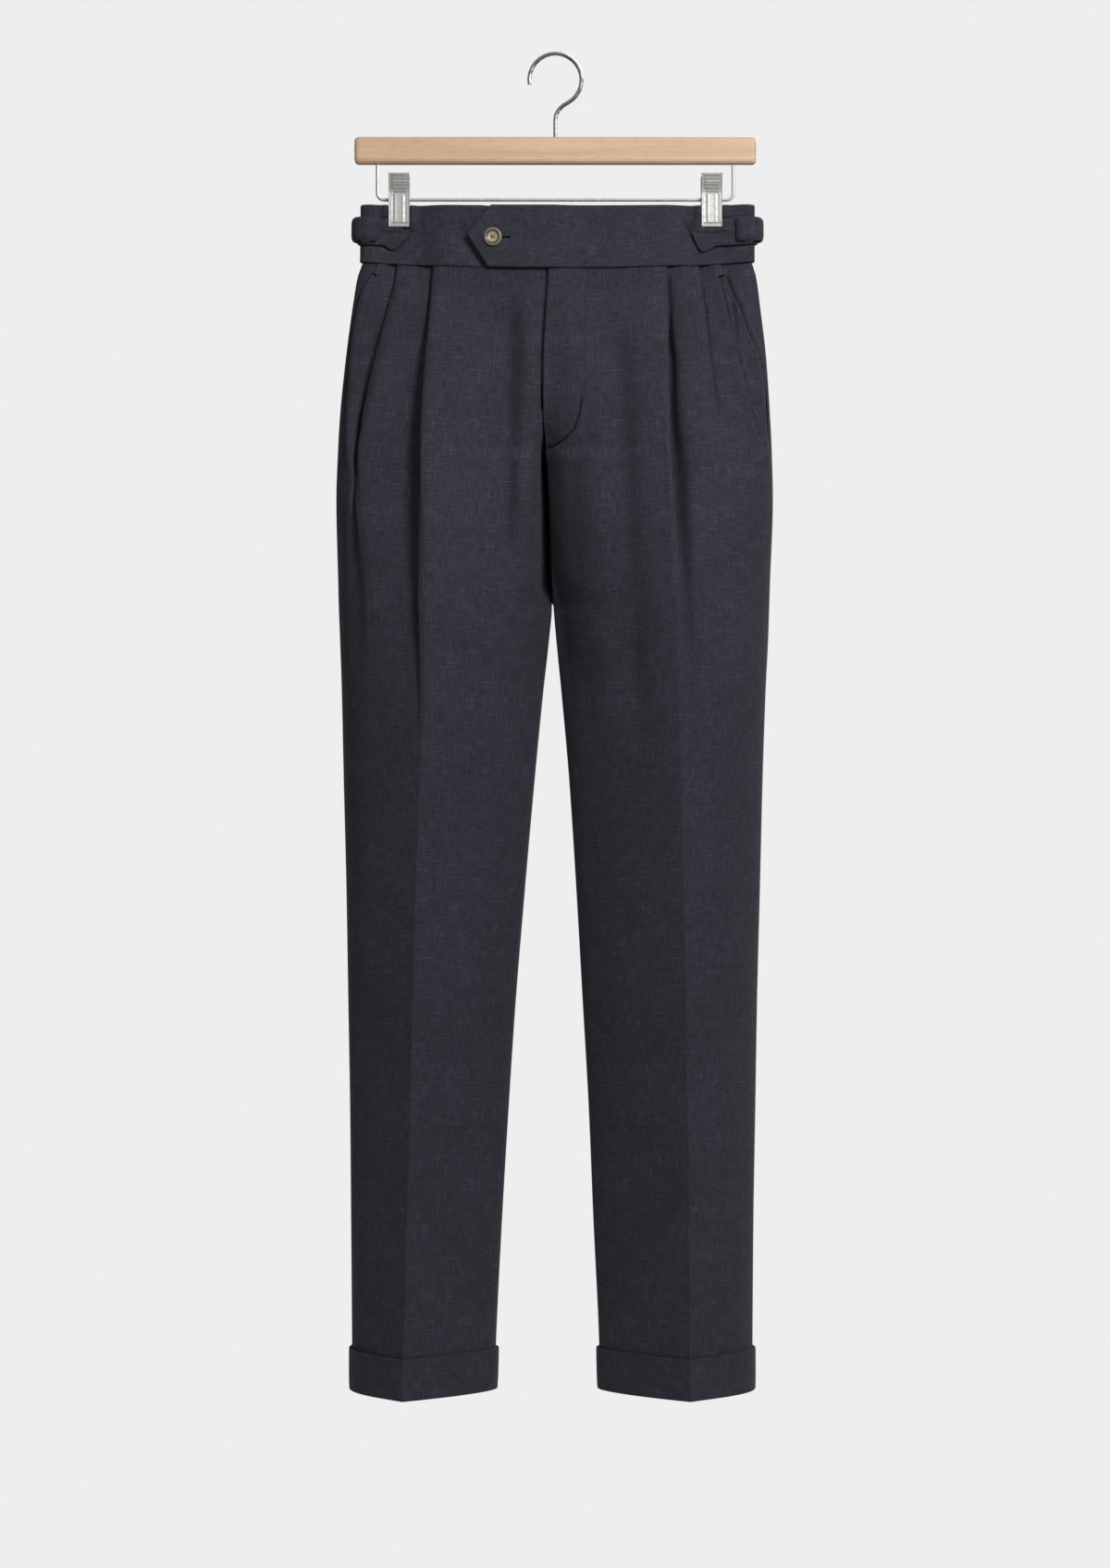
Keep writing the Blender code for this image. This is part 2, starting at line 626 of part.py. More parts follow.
def make_cloth():
    for side in ("right", "left"):
        cloth("front_" + side, [front_row(side, z) for z in PANEL_HEIGHTS], WALL)
        cloth("back_" + side, [back_row(side, z) for z in PANEL_HEIGHTS], WALL)
        pocket_heights = [z for z in PANEL_HEIGHTS if z >= POCKET_END]
        cloth("pocket_facing_" + side, [facing_row(side, z) for z in pocket_heights], WALL)
        cloth("waistband_" + side, [waistband_row(side, s) for s in (0.0, 0.25, 0.5, 0.75, 1.0)],
              WAISTBAND_WALL)
        cloth("adjuster_strap_" + side, strap_rows(side), STRAP_WALL)
        cloth("adjuster_loop_" + side, loop_rows(side), LOOP_WALL)
        rise = (CUFF_TOP, 1.65), (CUFF_TOP - 9.0, 1.8), (HEM + 11.0, 1.9), (HEM, 1.65)
        cloth("cuff_" + side, [cuff_row(side, z, out) for z, out in rise], CUFF_WALL, closed=True)


# ---------------------------------------------------------------- hard pieces

BUTTON_RADIUS = 8.25
BUTTON_SPOT = (-57.1, -165.2)
BUTTON_PROFILE = (            # radius, height above the cloth
    (0.0, 1.6), (4.2, 1.6), (5.4, 1.9), (6.2, 2.8), (7.2, 3.1), (8.0, 2.6), (8.25, 1.7),
    (7.9, 0.9), (6.0, 0.0), (0.0, 0.0))
BUTTON_HOLE = 0.95
BUTTON_HOLE_OFFSET = 1.55
BUCKLE_HALF = (5.0, 10.6)
BUCKLE_CORNER = 1.8
BUCKLE_WIRE = 0.75


def new_object(name, data, material=None):
    thing = bpy.data.objects.new(name, data)
    trousers.objects.link(thing)
    if material:
        data.materials.append(materials[material])
    return thing


def finish(name, shape, material):
    mesh = bpy.data.meshes.new(name)
    shape.to_mesh(mesh)
    shape.free()
    mesh.shade_smooth()
    mesh.set_sharp_from_angle(angle=math.radians(50))
    return new_object(name, mesh, material)


def wire(name, points, radius, material, cyclic=False):
    """A round wire through points in millimetres."""
    curve = bpy.data.curves.new(name, "CURVE")
    curve.dimensions = "3D"
    curve.bevel_depth = radius * MM
    curve.bevel_resolution = 2
    curve.use_fill_caps = not cyclic
    spline = curve.splines.new("POLY")
    spline.points.add(len(points) - 1)
    spline.use_cyclic_u = cyclic
    for target, point in zip(spline.points, points):
        target.co = (*(Vector(point) * MM), 1.0)
    return new_object(name, curve, material)


def arc(centre, radius, start, stop, count):
    """Points on a circle in the XZ plane, angles in degrees from +X towards +Z."""
    points = []
    for i in range(count + 1):
        angle = math.radians(start + (stop - start) * i / count)
        points.append((centre[0] + radius * math.cos(angle), 0.0,
                       centre[1] + radius * math.sin(angle)))
    return points


def turned(name, profile, segments, material):
    """A profile of (radius, height) pairs turned about the local Z axis."""
    shape = bmesh.new()
    points = [shape.verts.new((radius * MM, 0.0, height * MM)) for radius, height in profile]
    for first, second in zip(points, points[1:]):
        shape.edges.new((first, second))
    piece = finish(name, shape, material)
    screw = piece.modifiers.new("turn", "SCREW")
    screw.axis = "Z"
    screw.angle = math.tau
    screw.steps = screw.render_steps = segments
    screw.use_merge_vertices = True
    screw.merge_threshold = 0.00001
    return piece


def cutter(name, radius, depth, location):
    shape = bmesh.new()
    bmesh.ops.create_cone(shape, cap_ends=True, segments=16, radius1=radius * MM,
                          radius2=radius * MM, depth=depth * MM)
    mesh = bpy.data.meshes.new(name)
    shape.to_mesh(mesh)
    shape.free()
    thing = bpy.data.objects.new(name, mesh)
    cutters.objects.link(thing)
    thing.location = Vector(location) * MM
    thing.hide_render = True
    thing.display_type = "WIRE"
    return thing


def cut(piece, tool):
    boolean = piece.modifiers.new(tool.name, "BOOLEAN")
    boolean.operation = "DIFFERENCE"
    boolean.object = tool
    boolean.solver = "EXACT"


def make_hanger():
    length, depth, height = BAR_SIZE
    bpy.ops.mesh.primitive_cube_add(size=1.0, location=(0.0, 0.0, (BAR_TOP - height / 2) * MM))
    bar = bpy.context.active_object
    bar.name = bar.data.name = "hanger_bar"
    for owner in list(bar.users_collection):
        owner.objects.unlink(bar)
    trousers.objects.link(bar)
    bar.data.materials.append(materials["wood"])
    for vertex in bar.data.vertices:
        vertex.co = [c * s * MM for c, s in zip(vertex.co, BAR_SIZE)]
    bevel = bar.modifiers.new("rounded edges", "BEVEL")
    bevel.width = BAR_BEVEL * MM
    bevel.segments = 3
    underside = BAR_TOP - height
    for x in (-FRAME_HALF, FRAME_HALF):
        socket = FRAME_WIRE + SOCKET_CLEARANCE
        cut(bar, cutter("socket_%d" % round(x), socket, 30.0, (x, 0.0, underside)))
    cut(bar, cutter("hook_socket", HOOK_WIRE + SOCKET_CLEARANCE, 34.0, (0.0, 0.0, BAR_TOP)))

    middle = HOOK_WIRE - HOOK_RADIUS
    foot = middle - HOOK_RADIUS - 8.0
    neck = arc((0.0, middle), HOOK_RADIUS, -62.0, 190.0, 20)
    stem = [(0.0, 0.0, BAR_TOP - 16.0), (0.0, 0.0, BAR_TOP), (0.0, 0.0, foot - 4.0),
            (0.6, 0.0, foot), (3.2, 0.0, foot + 4.6), (7.2, 0.0, foot + 8.4)]
    wire("hanger_hook", stem + neck, HOOK_WIRE, "steel")

    corner = FRAME_HALF - ROD_BEND
    rise = ROD_HEIGHT + ROD_BEND
    path = [(-FRAME_HALF, 0.0, underside + 14.0), (-FRAME_HALF, 0.0, underside)]
    path += arc((-corner, rise), ROD_BEND, 180.0, 270.0, 5)
    path += arc((corner, rise), ROD_BEND, 270.0, 360.0, 5)
    path += [(FRAME_HALF, 0.0, underside), (FRAME_HALF, 0.0, underside + 14.0)]
    wire("hanger_wire", path, FRAME_WIRE, "steel")


def jaw_profile(face, grip):
    """Side view of one jaw: (y, z) pairs down the inner face and up the ribbed outer face."""
    pivot = 5.6
    spread = 10.2
    inner = [(spread, CLIP_TOP), (pivot, -127.5), (pivot, -136.0), (grip, -142.0),
             (grip, CLIP_BOTTOM)]
    outer = [(grip + JAW_WALL, CLIP_BOTTOM), (grip + JAW_WALL + 0.5, CLIP_BOTTOM + 1.2),
             (grip + JAW_WALL + 0.5, -143.0), (pivot + JAW_WALL + 0.5, -136.0),
             (pivot + JAW_WALL + 0.5, -128.6), (pivot + JAW_WALL - 0.3, -128.2),
             (pivot + JAW_WALL, -126.2)]
    ribs = 5
    top = np.array((spread + JAW_WALL, CLIP_TOP))
    root = np.array((pivot + JAW_WALL + 0.7, -125.8))
    for i in range(ribs):
        low = root + (top - root) * i / ribs
        mid = root + (top - root) * (i + 0.5) / ribs
        outer += [(low[0] - 0.25, low[1]), (mid[0] + 0.45, mid[1])]
    outer.append((top[0], top[1]))
    return [(face * y, z) for y, z in inner + outer]


def plate(name, outline, width, x, material):
    """A side view in the YZ plane, extruded along X."""
    curve = bpy.data.curves.new(name, "CURVE")
    curve.dimensions = "2D"
    curve.fill_mode = "BOTH"
    curve.extrude = width / 2 * MM
    spline = curve.splines.new("POLY")
    spline.points.add(len(outline) - 1)
    spline.use_cyclic_u = True
    for target, (y, z) in zip(spline.points, outline):
        target.co = (y * MM, z * MM, 0.0, 1.0)
    piece = new_object(name, curve, material)
    piece.matrix_world = Matrix.Translation((x * MM, 0.0, 0.0)) @ Matrix(
        ((0, 0, 1, 0), (1, 0, 0, 0), (0, 1, 0, 0), (0, 0, 0, 1)))
    return piece


def make_clips():
    front_grip = 2.6 + WAISTBAND_PROUD + 0.35 + STRAP_WALL + 0.35
    back_grip = 2.6 + WAISTBAND_PROUD + 0.4
    for side in ("right", "left"):
        x = SIGN[side] * CLIP_X
        plate("clip_%s_front" % side, jaw_profile(-1, front_grip), CLIP_WIDTH, x, "nickel")
        plate("clip_%s_back" % side, jaw_profile(1, back_grip), CLIP_WIDTH, x, "nickel")
        spring = turned("clip_%s_spring" % side,
                        ((2.1, 6.5), (3.7, 6.5), (3.7, -6.5), (2.1, -6.5), (2.1, 6.5)),
                        16, "steel")
        spring.location = Vector((x, 0.0, ROD_HEIGHT)) * MM
        spring.rotation_euler = (0.0, math.pi / 2, 0.0)


def make_button():
    x, height = BUTTON_SPOT
    ring = Ring.get("left", height)
    place = ring.place_at(x)
    at = spot(ring, place, TAB_PROUD + 0.6)
    ahead = spot(ring, place + 2.0, TAB_PROUD) - spot(ring, place - 2.0, TAB_PROUD)
    turn = math.atan2(ahead.y, ahead.x)
    button = turned("waist_button", BUTTON_PROFILE, 24, "horn")
    lean = Matrix.Rotation(turn + math.pi, 4, "Z") @ Matrix.Rotation(math.pi / 2, 4, "X")
    button.matrix_world = Matrix.Translation(at) @ lean
    for i in range(4):
        angle = math.pi / 4 + i * math.pi / 2
        offset = Vector((math.cos(angle), math.sin(angle), 0.0)) * BUTTON_HOLE_OFFSET * MM
        tool = cutter("button_hole_%d" % i, BUTTON_HOLE, 8.0, (0.0, 0.0, 0.0))
        tool.matrix_world = button.matrix_world @ Matrix.Translation(offset)
        cut(button, tool)


def make_buckles():
    """A thin metal slide between the strap and its turn."""
    half_width, half_height = BUCKLE_HALF
    inset = BUCKLE_CORNER
    middle = (LOOP_TOP + LOOP_BOTTOM) / 2 - 1.2
    corners = ((1, 1), (-1, 1), (-1, -1), (1, -1))
    for side in ("right", "left"):
        ring = Ring.get(side, middle)
        place = ring.place_at(LOOP_FRONT[side]) * 0.5
        rest = WAISTBAND_PROUD + 0.35 + STRAP_WALL + 0.4 + BUCKLE_WIRE
        centre = Vector((*ring.point(place, rest), middle))
        ahead = Vector((*ring.point(place + 2.0, rest), middle))
        across = (ahead - Vector((*ring.point(place - 2.0, rest), middle))).normalized()
        points = []
        for i, (right, up) in enumerate(corners):
            for step in range(3):
                angle = math.radians(90.0 * i + 45.0 * step)
                points.append(
                    centre
                    + across * (right * (half_width - inset) + inset * math.cos(angle))
                    + Vector((0, 0, 1)) * (up * (half_height - inset) + inset * math.sin(angle)))
        wire("adjuster_buckle_" + side, points, BUCKLE_WIRE, "nickel", cyclic=True)


# ---------------------------------------------------------------- finishes and build

FINISHES = {                  # linear colour, roughness, metallic
    "cloth": ((0.036, 0.036, 0.049), 0.85, 0.0),
    "wood": ((0.65, 0.45, 0.30), 0.50, 0.0),
    "nickel": ((0.62, 0.60, 0.57), 0.30, 1.0),
    "steel": ((0.50, 0.50, 0.50), 0.30, 1.0),
    "horn": ((0.25, 0.20, 0.15), 0.35, 0.0),
}


def make_material(name, colour, roughness, metallic):
    material = bpy.data.materials.new(name)
    material.use_nodes = True
    shader = material.node_tree.nodes["Principled BSDF"]
    shader.inputs["Base Color"].default_value = (*colour, 1.0)
    shader.inputs["Roughness"].default_value = roughness
    shader.inputs["Metallic"].default_value = metallic
    material.diffuse_color = (*colour, 1.0)
    return material


for old in list(bpy.data.objects):
    bpy.data.objects.remove(old, do_unlink=True)
trousers = bpy.data.collections.new("pleated_trousers_on_hanger")
cutters = bpy.data.collections.new("cutters")
for collection in (trousers, cutters):
    bpy.context.scene.collection.children.link(collection)
materials = {name: make_material(name, *values) for name, values in FINISHES.items()}
make_cloth()
make_hanger()
make_clips()
make_button()
make_buckles()
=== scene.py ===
"""Cloth, sewing, metal and wood of the pleated dress trousers on their clip hanger.

z = 0 is the inside of the hook's bend, the front faces -Y and the wearer's left is +X.
Tables are in millimetres; pieces are in metres.
"""
import math

import bmesh
import bpy
import numpy as np
from mathutils import Matrix, Vector
from mathutils.bvhtree import BVHTree


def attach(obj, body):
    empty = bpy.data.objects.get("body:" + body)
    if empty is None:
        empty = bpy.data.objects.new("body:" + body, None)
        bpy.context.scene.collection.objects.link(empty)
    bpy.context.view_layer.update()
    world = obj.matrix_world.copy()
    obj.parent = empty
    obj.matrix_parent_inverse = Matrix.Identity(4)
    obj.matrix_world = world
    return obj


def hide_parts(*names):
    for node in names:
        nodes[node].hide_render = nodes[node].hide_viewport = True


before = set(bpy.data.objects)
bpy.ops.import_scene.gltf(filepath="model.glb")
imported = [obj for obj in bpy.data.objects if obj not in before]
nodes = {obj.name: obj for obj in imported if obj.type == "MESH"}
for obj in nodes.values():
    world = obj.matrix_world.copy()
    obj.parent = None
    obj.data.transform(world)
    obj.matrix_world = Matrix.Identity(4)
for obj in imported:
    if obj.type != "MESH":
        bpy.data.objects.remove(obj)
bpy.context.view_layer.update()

MM = 0.001
SCENE = bpy.context.scene

# ---------------------------------------------------------------- camera

FRAME_CENTRE = (-0.4, -669.2)          # x and z of the middle of the picture
CAMERA_AWAY = 3000.0
PICTURE_HEIGHT = 1440.8
SENSOR = 36.0


def make_camera():
    data = bpy.data.cameras.new("camera")
    data.sensor_width = SENSOR
    data.lens = SENSOR * CAMERA_AWAY / PICTURE_HEIGHT
    data.clip_start = 0.05
    camera = bpy.data.objects.new("camera", data)
    camera.location = Vector((FRAME_CENTRE[0], -CAMERA_AWAY, FRAME_CENTRE[1])) * MM
    camera.rotation_euler = (math.pi / 2, 0.0, 0.0)
    SCENE.collection.objects.link(camera)
    SCENE.camera = camera


make_camera()

# ---------------------------------------------------------------- form of the cloth

WALL = 0.9
SOLID_WALL = 1.4                       # the rows lie in the middle of a wall this thick
SEAM_GAP = 0.16
LAYER = 2.2                            # from one layer of a folded pleat to the next
WAISTBAND_WALL = 3.0
WAISTBAND_PROUD = 2.2
CUFF_WALL = 1.8
STRAP_WALL = 1.9
STRAP_GAP = 0.8
LOOP_WALL = 1.8

WAIST_TOP = -137.5
WAIST_SEAM = -190.2
CROTCH = -505.0
POCKET_END = -367.0
CUFF_TOP = -1186.0
LEG_END = -1222.5
HEM = -1224.0
HALF_WAIST = 182.0

FLY_PROUD = 2.5
FLY_WIDTH = 19.0                       # from centre front to where the fly begins to fall away
FLY_SLOPE = 24.0
FLY_UNDERLAP = 16.0
FLY_END = -378.0
UNDERLAP_END = -320.0
MOUTH_END = -384.0
POCKET_PROUD = 2.2
TAB_PROUD = WAISTBAND_PROUD + WAISTBAND_WALL + 0.3
TAB_TIP = -80.4
TAB_CORNER_TOP = -58.7
TAB_CORNER_BOTTOM = -61.6
TAB_TIP_HEIGHT = -163.0
CLIP_X = 143.4
CLIP_WIDTH = 19.0
CLIP_BOTTOM = -158.7
CLIP_PRESS = 0.78                      # share of the waist's depth that a clip presses out
PINCH_FLAT = 11.0                      # to each side of a clip; then it widens again,
PINCH_IN = 36.0                        # towards the middle
PINCH_OUT = 25.0                       # and towards the side
PINCH_BOTTOM = -178.0
PINCH_FADE = 52.0
TOP_DIP = 2.5                          # how far the waist hangs down between the clips
SEAM_DIP = 7.0

SIDES = ("right", "left")              # the wearer's
SIGN = {"right": -1, "left": 1}
OTHER = {"right": "left", "left": "right"}


def hermite(start, end, leave, arrive, step, t):
    """A smooth curve from start to end over a step, with its slope given at both."""
    return (start * (1 + 2 * t) * (1 - t) ** 2 + end * t * t * (3 - 2 * t)
            + step * (leave * t * (1 - t) ** 2 + arrive * t * t * (t - 1)))


class Table:
    """A short table with named columns, read at any height on a smooth curve."""

    def __init__(self, columns, *rows):
        self.columns = columns.split()
        self.rows = np.array(sorted(rows), dtype=float)
        self.slopes = {}

    def slopes_of(self, name, y, step):
        """Slope at each row: none at a turning point, so that nothing overshoots."""
        if name not in self.slopes:
            rise = np.diff(y) / step
            before, after = rise[:-1], rise[1:]
            flat = before * after <= 0.0
            total = np.where(flat, 1.0, before + after)
            middle = np.where(flat, 0.0, 2.0 * before * after / total)
            self.slopes[name] = np.concatenate((rise[:1], middle, rise[-1:]))
        return self.slopes[name]

    def at(self, name, height):
        x = self.rows[:, 0]
        y = self.rows[:, self.columns.index(name)]
        height = min(max(height, x[0]), x[-1])
        i = int(min(max(np.searchsorted(x, height) - 1, 0), len(x) - 2))
        step = np.diff(x)
        slope = self.slopes_of(name, y, step)
        t = (height - x[i]) / step[i]
        return float(hermite(y[i], y[i + 1], slope[i], slope[i + 1], step[i], t))

    def all_at(self, height):
        return {name: self.at(name, height) for name in self.columns[1:]}


# x of the silhouette and of the pressed creases, seen from the front
OUTLINE = Table(
    "height right_outer right_crease right_inner left_inner left_crease left_outer",
    (-137, -176.9, -113, -6.4, -6.4, 103.5, 181),
    (-188, -177.5, -111, -6.4, -6.4, 100.8, 180.9),
    (-204, -182.1, -111.6, -6.8, -6.8, 100.7, 184.8),
    (-229, -186.3, -113.2, -8.4, -8.4, 100.8, 188.2),
    (-280, -193.1, -116.6, -11, -11, 101, 194.1),
    (-331, -198.2, -119.4, -11.2, -11.2, 101.5, 197.5),
    (-361, -200, -120.2, -9, -9, 102.4, 199),
    (-408, -201.6, -120.2, -6.5, -6.5, 104, 200.1),
    (-484, -199.9, -119, -3.6, -3.6, 107.3, 197.5),
    (-505, -199.4, -119.2, -2.8, -2.3, 107.9, 196.8),
    (-535, -198.2, -118.2, -5.3, 0.2, 108.6, 195.8),
    (-586, -196.5, -117.6, -10.9, 5.2, 110.1, 193.3),
    (-663, -194.8, -121.4, -18.4, 12, 112.3, 190.7),
    (-765, -192.3, -125.3, -27.5, 18.7, 115.2, 188.2),
    (-867, -190.6, -128.2, -35.9, 24.5, 117, 185.6),
    (-969, -188.9, -130.8, -42.7, 30.3, 118.8, 183.9),
    (-1071, -188, -133.8, -48.7, 34.5, 120.3, 182.2),
    (-1173, -187.2, -136.3, -53.8, 39.4, 120.8, 181.4),
    (-1224, -186.9, -137.3, -55.6, 40.9, 121.1, 181.2),
)

# depth in front of and behind the side seams, and how full each face of a leg is
DEPTH = Table(
    "height centre_front crease_front crease_back centre_back fullness side_round",
    (-137, 14, 12, 12, 13, 1, 0.90),
    (-195, 14.5, 13, 13.5, 14, 1, 0.90),
    (-229, 18.5, 18.5, 21, 19, 0.95, 0.80),
    (-280, 24, 31, 35, 28, 0.85, 0.65),
    (-331, 29, 45, 49, 37, 0.75, 0.58),
    (-408, 27, 65, 69, 44, 0.65, 0.52),
    (-455, 17, 73, 79, 38, 0.66, 0.50),
    (-484, 5, 76, 83, 25, 0.72, 0.50),
    (-500, -5, 77, 84, 13, 0.76, 0.50),
    (-505, -8, 77.5, 84, 8, 0.78, 0.50),
    (-535, -6, 78, 84, 6, 0.78, 0.50),
    (-586, -3, 77.5, 82, 3, 0.68, 0.50),
    (-663, -1, 75, 78, 1, 0.54, 0.50),
    (-969, 0, 69, 70, 0, 0.40, 0.46),
    (-1224, 0, 68, 67, 0, 0.35, 0.44),
)

# how the panels leave the centre seams: length of that stretch and its turn inwards in degrees
CENTRE = Table(
    "height front_reach front_turn back_reach back_turn",
    (-137, 30, 0, 30, 0),
    (-192, 30, 0, 20, 0),
    (-206, 30, 0, 5, 90),
    (-331, 30, 0, 14, 90),
    (-362, 22, 0, 17, 90),
    (-378, 12, 90, 18, 90),
    (-455, 24, 90, 26, 90),
    (-505, 40, 90, 40, 90),
    (-663, 26, 90, 26, 90),
    (-1224, 20, 90, 20, 90),
)

# the side seam, set in from the silhouette towards the front
SIDE_SEAM = Table(
    "height right left",
    (-188, 0.6, 0.6),
    (-229, 1, 0.9),
    (-265, 2, 1.3),
    (-304, 3.6, 2),
    (-343, 6, 3),
    (-369, 8.8, 4.4),
    (-392, 11, 3.6),
    (-440, 9, 3.2),
    (-502, 7, 3),
    (-586, 5.5, 3),
    (-1224, 5, 3),
)

# x of the slanted pocket mouth
POCKET = Table(
    "height right left",
    (-188, -161, 150),
    (-204, -170, 155.5),
    (-218, -177, 160.8),
    (-231, -180.3, 166.9),
    (-249, -183.5, 172.6),
    (-265, -186, 179),
    (-278, -187, 184.6),
    (-304, -188.6, 188.9),
    (-343, -190.8, 192.2),
    (-369, -190.6, 193.6),
)

# x of the second pleat's fold
SECOND_PLEAT = Table(
    "height right left",
    (-188, -143.5, 130),
    (-206, -145.4, 131.5),
    (-243, -154, 136),
    (-271, -160.4, 139),
    (-310, -168.6, 143),
    (-345, -175.4, 146.5),
    (-375, -179.4, 149.5),
    (-400, -179.4, 152),
    (-500, -168, 158),
    (-650, -165, 158),
    (-1224, -166, 156),
)

# the pleats: depth of the fold, how far its step has not yet opened, how proud its edge stands,
# and the hollows that the opened pleats leave beside the creases
PLEAT_FORM = Table(
    "height first_depth first_step first_lift second_depth second_step second_lift right left",
    (-188, 13, 1, 1.3, 10.5, 1, 1.2, 0, 0),
    (-228, 12, 1, 1.6, 9.5, 1, 1.6, 2.5, 3.5),
    (-255, 11, 1, 1.8, 7.5, 1, 1.6, 7, 9),
    (-290, 9.5, 1, 2, 5.5, 1, 1.6, 12, 15.5),
    (-323, 8, 1, 2.2, 3, 1, 1.6, 15.5, 18),
    (-345, 5, 1, 2.4, 1.5, 1, 1.5, 16.5, 19),
    (-375, 0, 1, 2.6, 0, 0.8, 1.2, 17, 19.5),
    (-395, 0, 0.8, 2.6, 0, 0.3, 0.5, 17, 19),
    (-430, 0, 0.3, 2.4, 0, 0, 0, 16, 16.5),
    (-480, 0, 0, 1.6, 0, 0, 0, 12.5, 10.5),
    (-545, 0, 0, 0.6, 0, 0, 0, 7, 4),
    (-640, 0, 0, 0, 0, 0, 0, 0, 0),
    (-1224, 0, 0, 0, 0, 0, 0, 0, 0),
)

# soft troughs (or ridges, below 0) that hang in the cloth: face (-1 front, 1 back), x and z of
# the upper and lower end, reach towards -x and +x, depth
TROUGHS = (
    (-1, -41.5, -200, -48, -510, 28, 10.5, 11.5),
    (-1, -8, -190, -6, -440, 14, 15, 2.6),
    (-1, -8, -320, -1, -640, 14, 28, 10.5),
    (-1, -8, -332, -3, -600, 9, 12, 8),
    (-1, 54, -225, 76, -660, 22, 12, 6.5),
    (-1, -180, -380, -177, -900, 14, 18, -4.5),
    (-1, 17, -330, 17, -520, 8, 8, 1.6),
    (-1, -96, -300, -96, -620, 9, 9, 1.4),
    (-1, -166, -420, -166, -640, 10, 10, 1.6),
    (-1, 152, -300, 152, -560, 12, 12, 1.6),
    (1, -62, -230, -62, -520, 16, 16, 3.4),
    (1, 58, -240, 58, -500, 15, 15, 3.8),
    (1, 150, -300, 150, -620, 17, 17, 3),
    (1, -148, -320, -148, -600, 16, 16, 2.6),
)

# smaller creases, each a soft ridge (or a furrow, below 0) along a line:
# face, x and z of its ends, half width, height
CREASES = (
    (-1, -150, -470, -128, -560, 5, 0.5),
    (-1, -184, -520, -150, -640, 7, -0.7),
    (-1, -24, -520, -66, -600, 8, 0.9),
    (-1, -14, -535, -44, -640, 6, -0.8),
    (-1, 18, -515, 70, -590, 9, 1),
    (-1, 8, -540, 46, -660, 7, -0.8),
    (-1, 150, -430, 172, -560, 8, -0.8),
    (-1, 136, -640, 168, -720, 9, 0.6),
    (-1, -96, -700, -60, -790, 10, 0.6),
    (-1, 40, -760, 84, -850, 9, -0.6),
    (-1, -172, -820, -146, -930, 8, 0.5),
    (-1, 130, -900, 168, -980, 9, 0.5),
    (-1, -110, -960, -72, -1040, 9, -0.5),
    (-1, 66, -1010, 104, -1100, 9, 0.5),
    (1, -40, -530, -88, -610, 9, 1.1),
    (1, 34, -525, 92, -600, 9, -1.1),
    (1, -170, -600, -130, -700, 9, 0.7),
    (1, 128, -660, 172, -760, 9, 0.7),
    (1, -100, -800, -58, -900, 10, -0.7),
    (1, 52, -820, 96, -930, 10, 0.6),
    (1, -150, -980, -120, -1080, 9, 0.5),
    (1, 130, -1010, 164, -1100, 9, -0.5),
    (1, -120, -230, -96, -330, 8, -0.7),
    (1, 100, -225, 124, -320, 8, -0.6),
)

# the pointed ends of the adjuster straps: x, upper edge, lower edge
STRAPS = {
    "right": ((-135.6, -163.9, -165.5), (-148, -150.2, -177.2), (-158, -150.2, -173.6)),
    "left": ((124, -161.3, -162.9), (134, -151, -178), (148, -150.4, -173.8)),
}

# the fly's row of stitches and the pressed fold beside the left pocket mouth, in x and z
FLY_STITCH = ((27.6, -190), (26.2, -260), (25.4, -305), (23.4, -319.4), (21.4, -333),
              (16.6, -346.5), (6.6, -356.5), (-3, -361.5), (-9.2, -361.2))
POCKET_FOLD = ((150.5, -206), (157.5, -238.5), (163.5, -265), (172.5, -297),
               (180.5, -330), (186, -353))

STRAP_TOP = -150.2
STRAP_BOTTOM = -173.8
LOOP_TOP = -149.8
LOOP_BOTTOM = -171.2
LOOP_FRONT = {"right": -164.9, "left": 167.5}


def smooth(value):
    """0 below 0, 1 above 1 and an even rise between."""
    value = np.clip(value, 0.0, 1.0)
    return value * value * (3 - 2 * value)


def ridge(away, half):
    """A soft ridge of height 1 at 0, with its half width."""
    return np.exp(-(away / half) ** 2)


def run_of(line):
    """Length along a row of points, from its start to each point."""
    steps = np.linalg.norm(np.diff(line, axis=0), axis=-1)
    return np.concatenate(([0.0], np.cumsum(steps)))


ARC_POINTS = 48
FOLD_REACH = 0.4                       # how far an arc keeps its direction at a pressed crease


def bezier(a, b, c, d):
    """Points on an arc from a to d that leaves towards b and arrives from c."""
    t = np.linspace(0.0, 1.0, ARC_POINTS)[:, None]
    return (1 - t) ** 3 * a + 3 * t * (1 - t) ** 2 * b + 3 * t * t * (1 - t) * c + t ** 3 * d


def clip_pinch(x, height):
    """Share of the depth that the clips press out of the waist."""
    away = np.abs(np.abs(x) - CLIP_X)
    across = 1 - smooth((away - PINCH_FLAT) / np.where(np.abs(x) < CLIP_X, PINCH_IN, PINCH_OUT))
    down = 1 - smooth((PINCH_BOTTOM - height) / PINCH_FADE)
    return CLIP_PRESS * across * down


def trough(x, height, face):
    """How far the soft troughs sink into the cloth."""
    depth = np.zeros_like(x)
    for side, x0, top, x1, bottom, left, right, deep in TROUGHS:
        along = smooth((top - height) / 60.0) * smooth((height - bottom) / 90.0)
        if along > 0.0:
            away = x - x0 - (x1 - x0) * (top - height) / (top - bottom)
            half = np.where(away < 0.0, left, right)
            depth += np.where(face == side, deep * along * ridge(away, half), 0.0)
    return depth


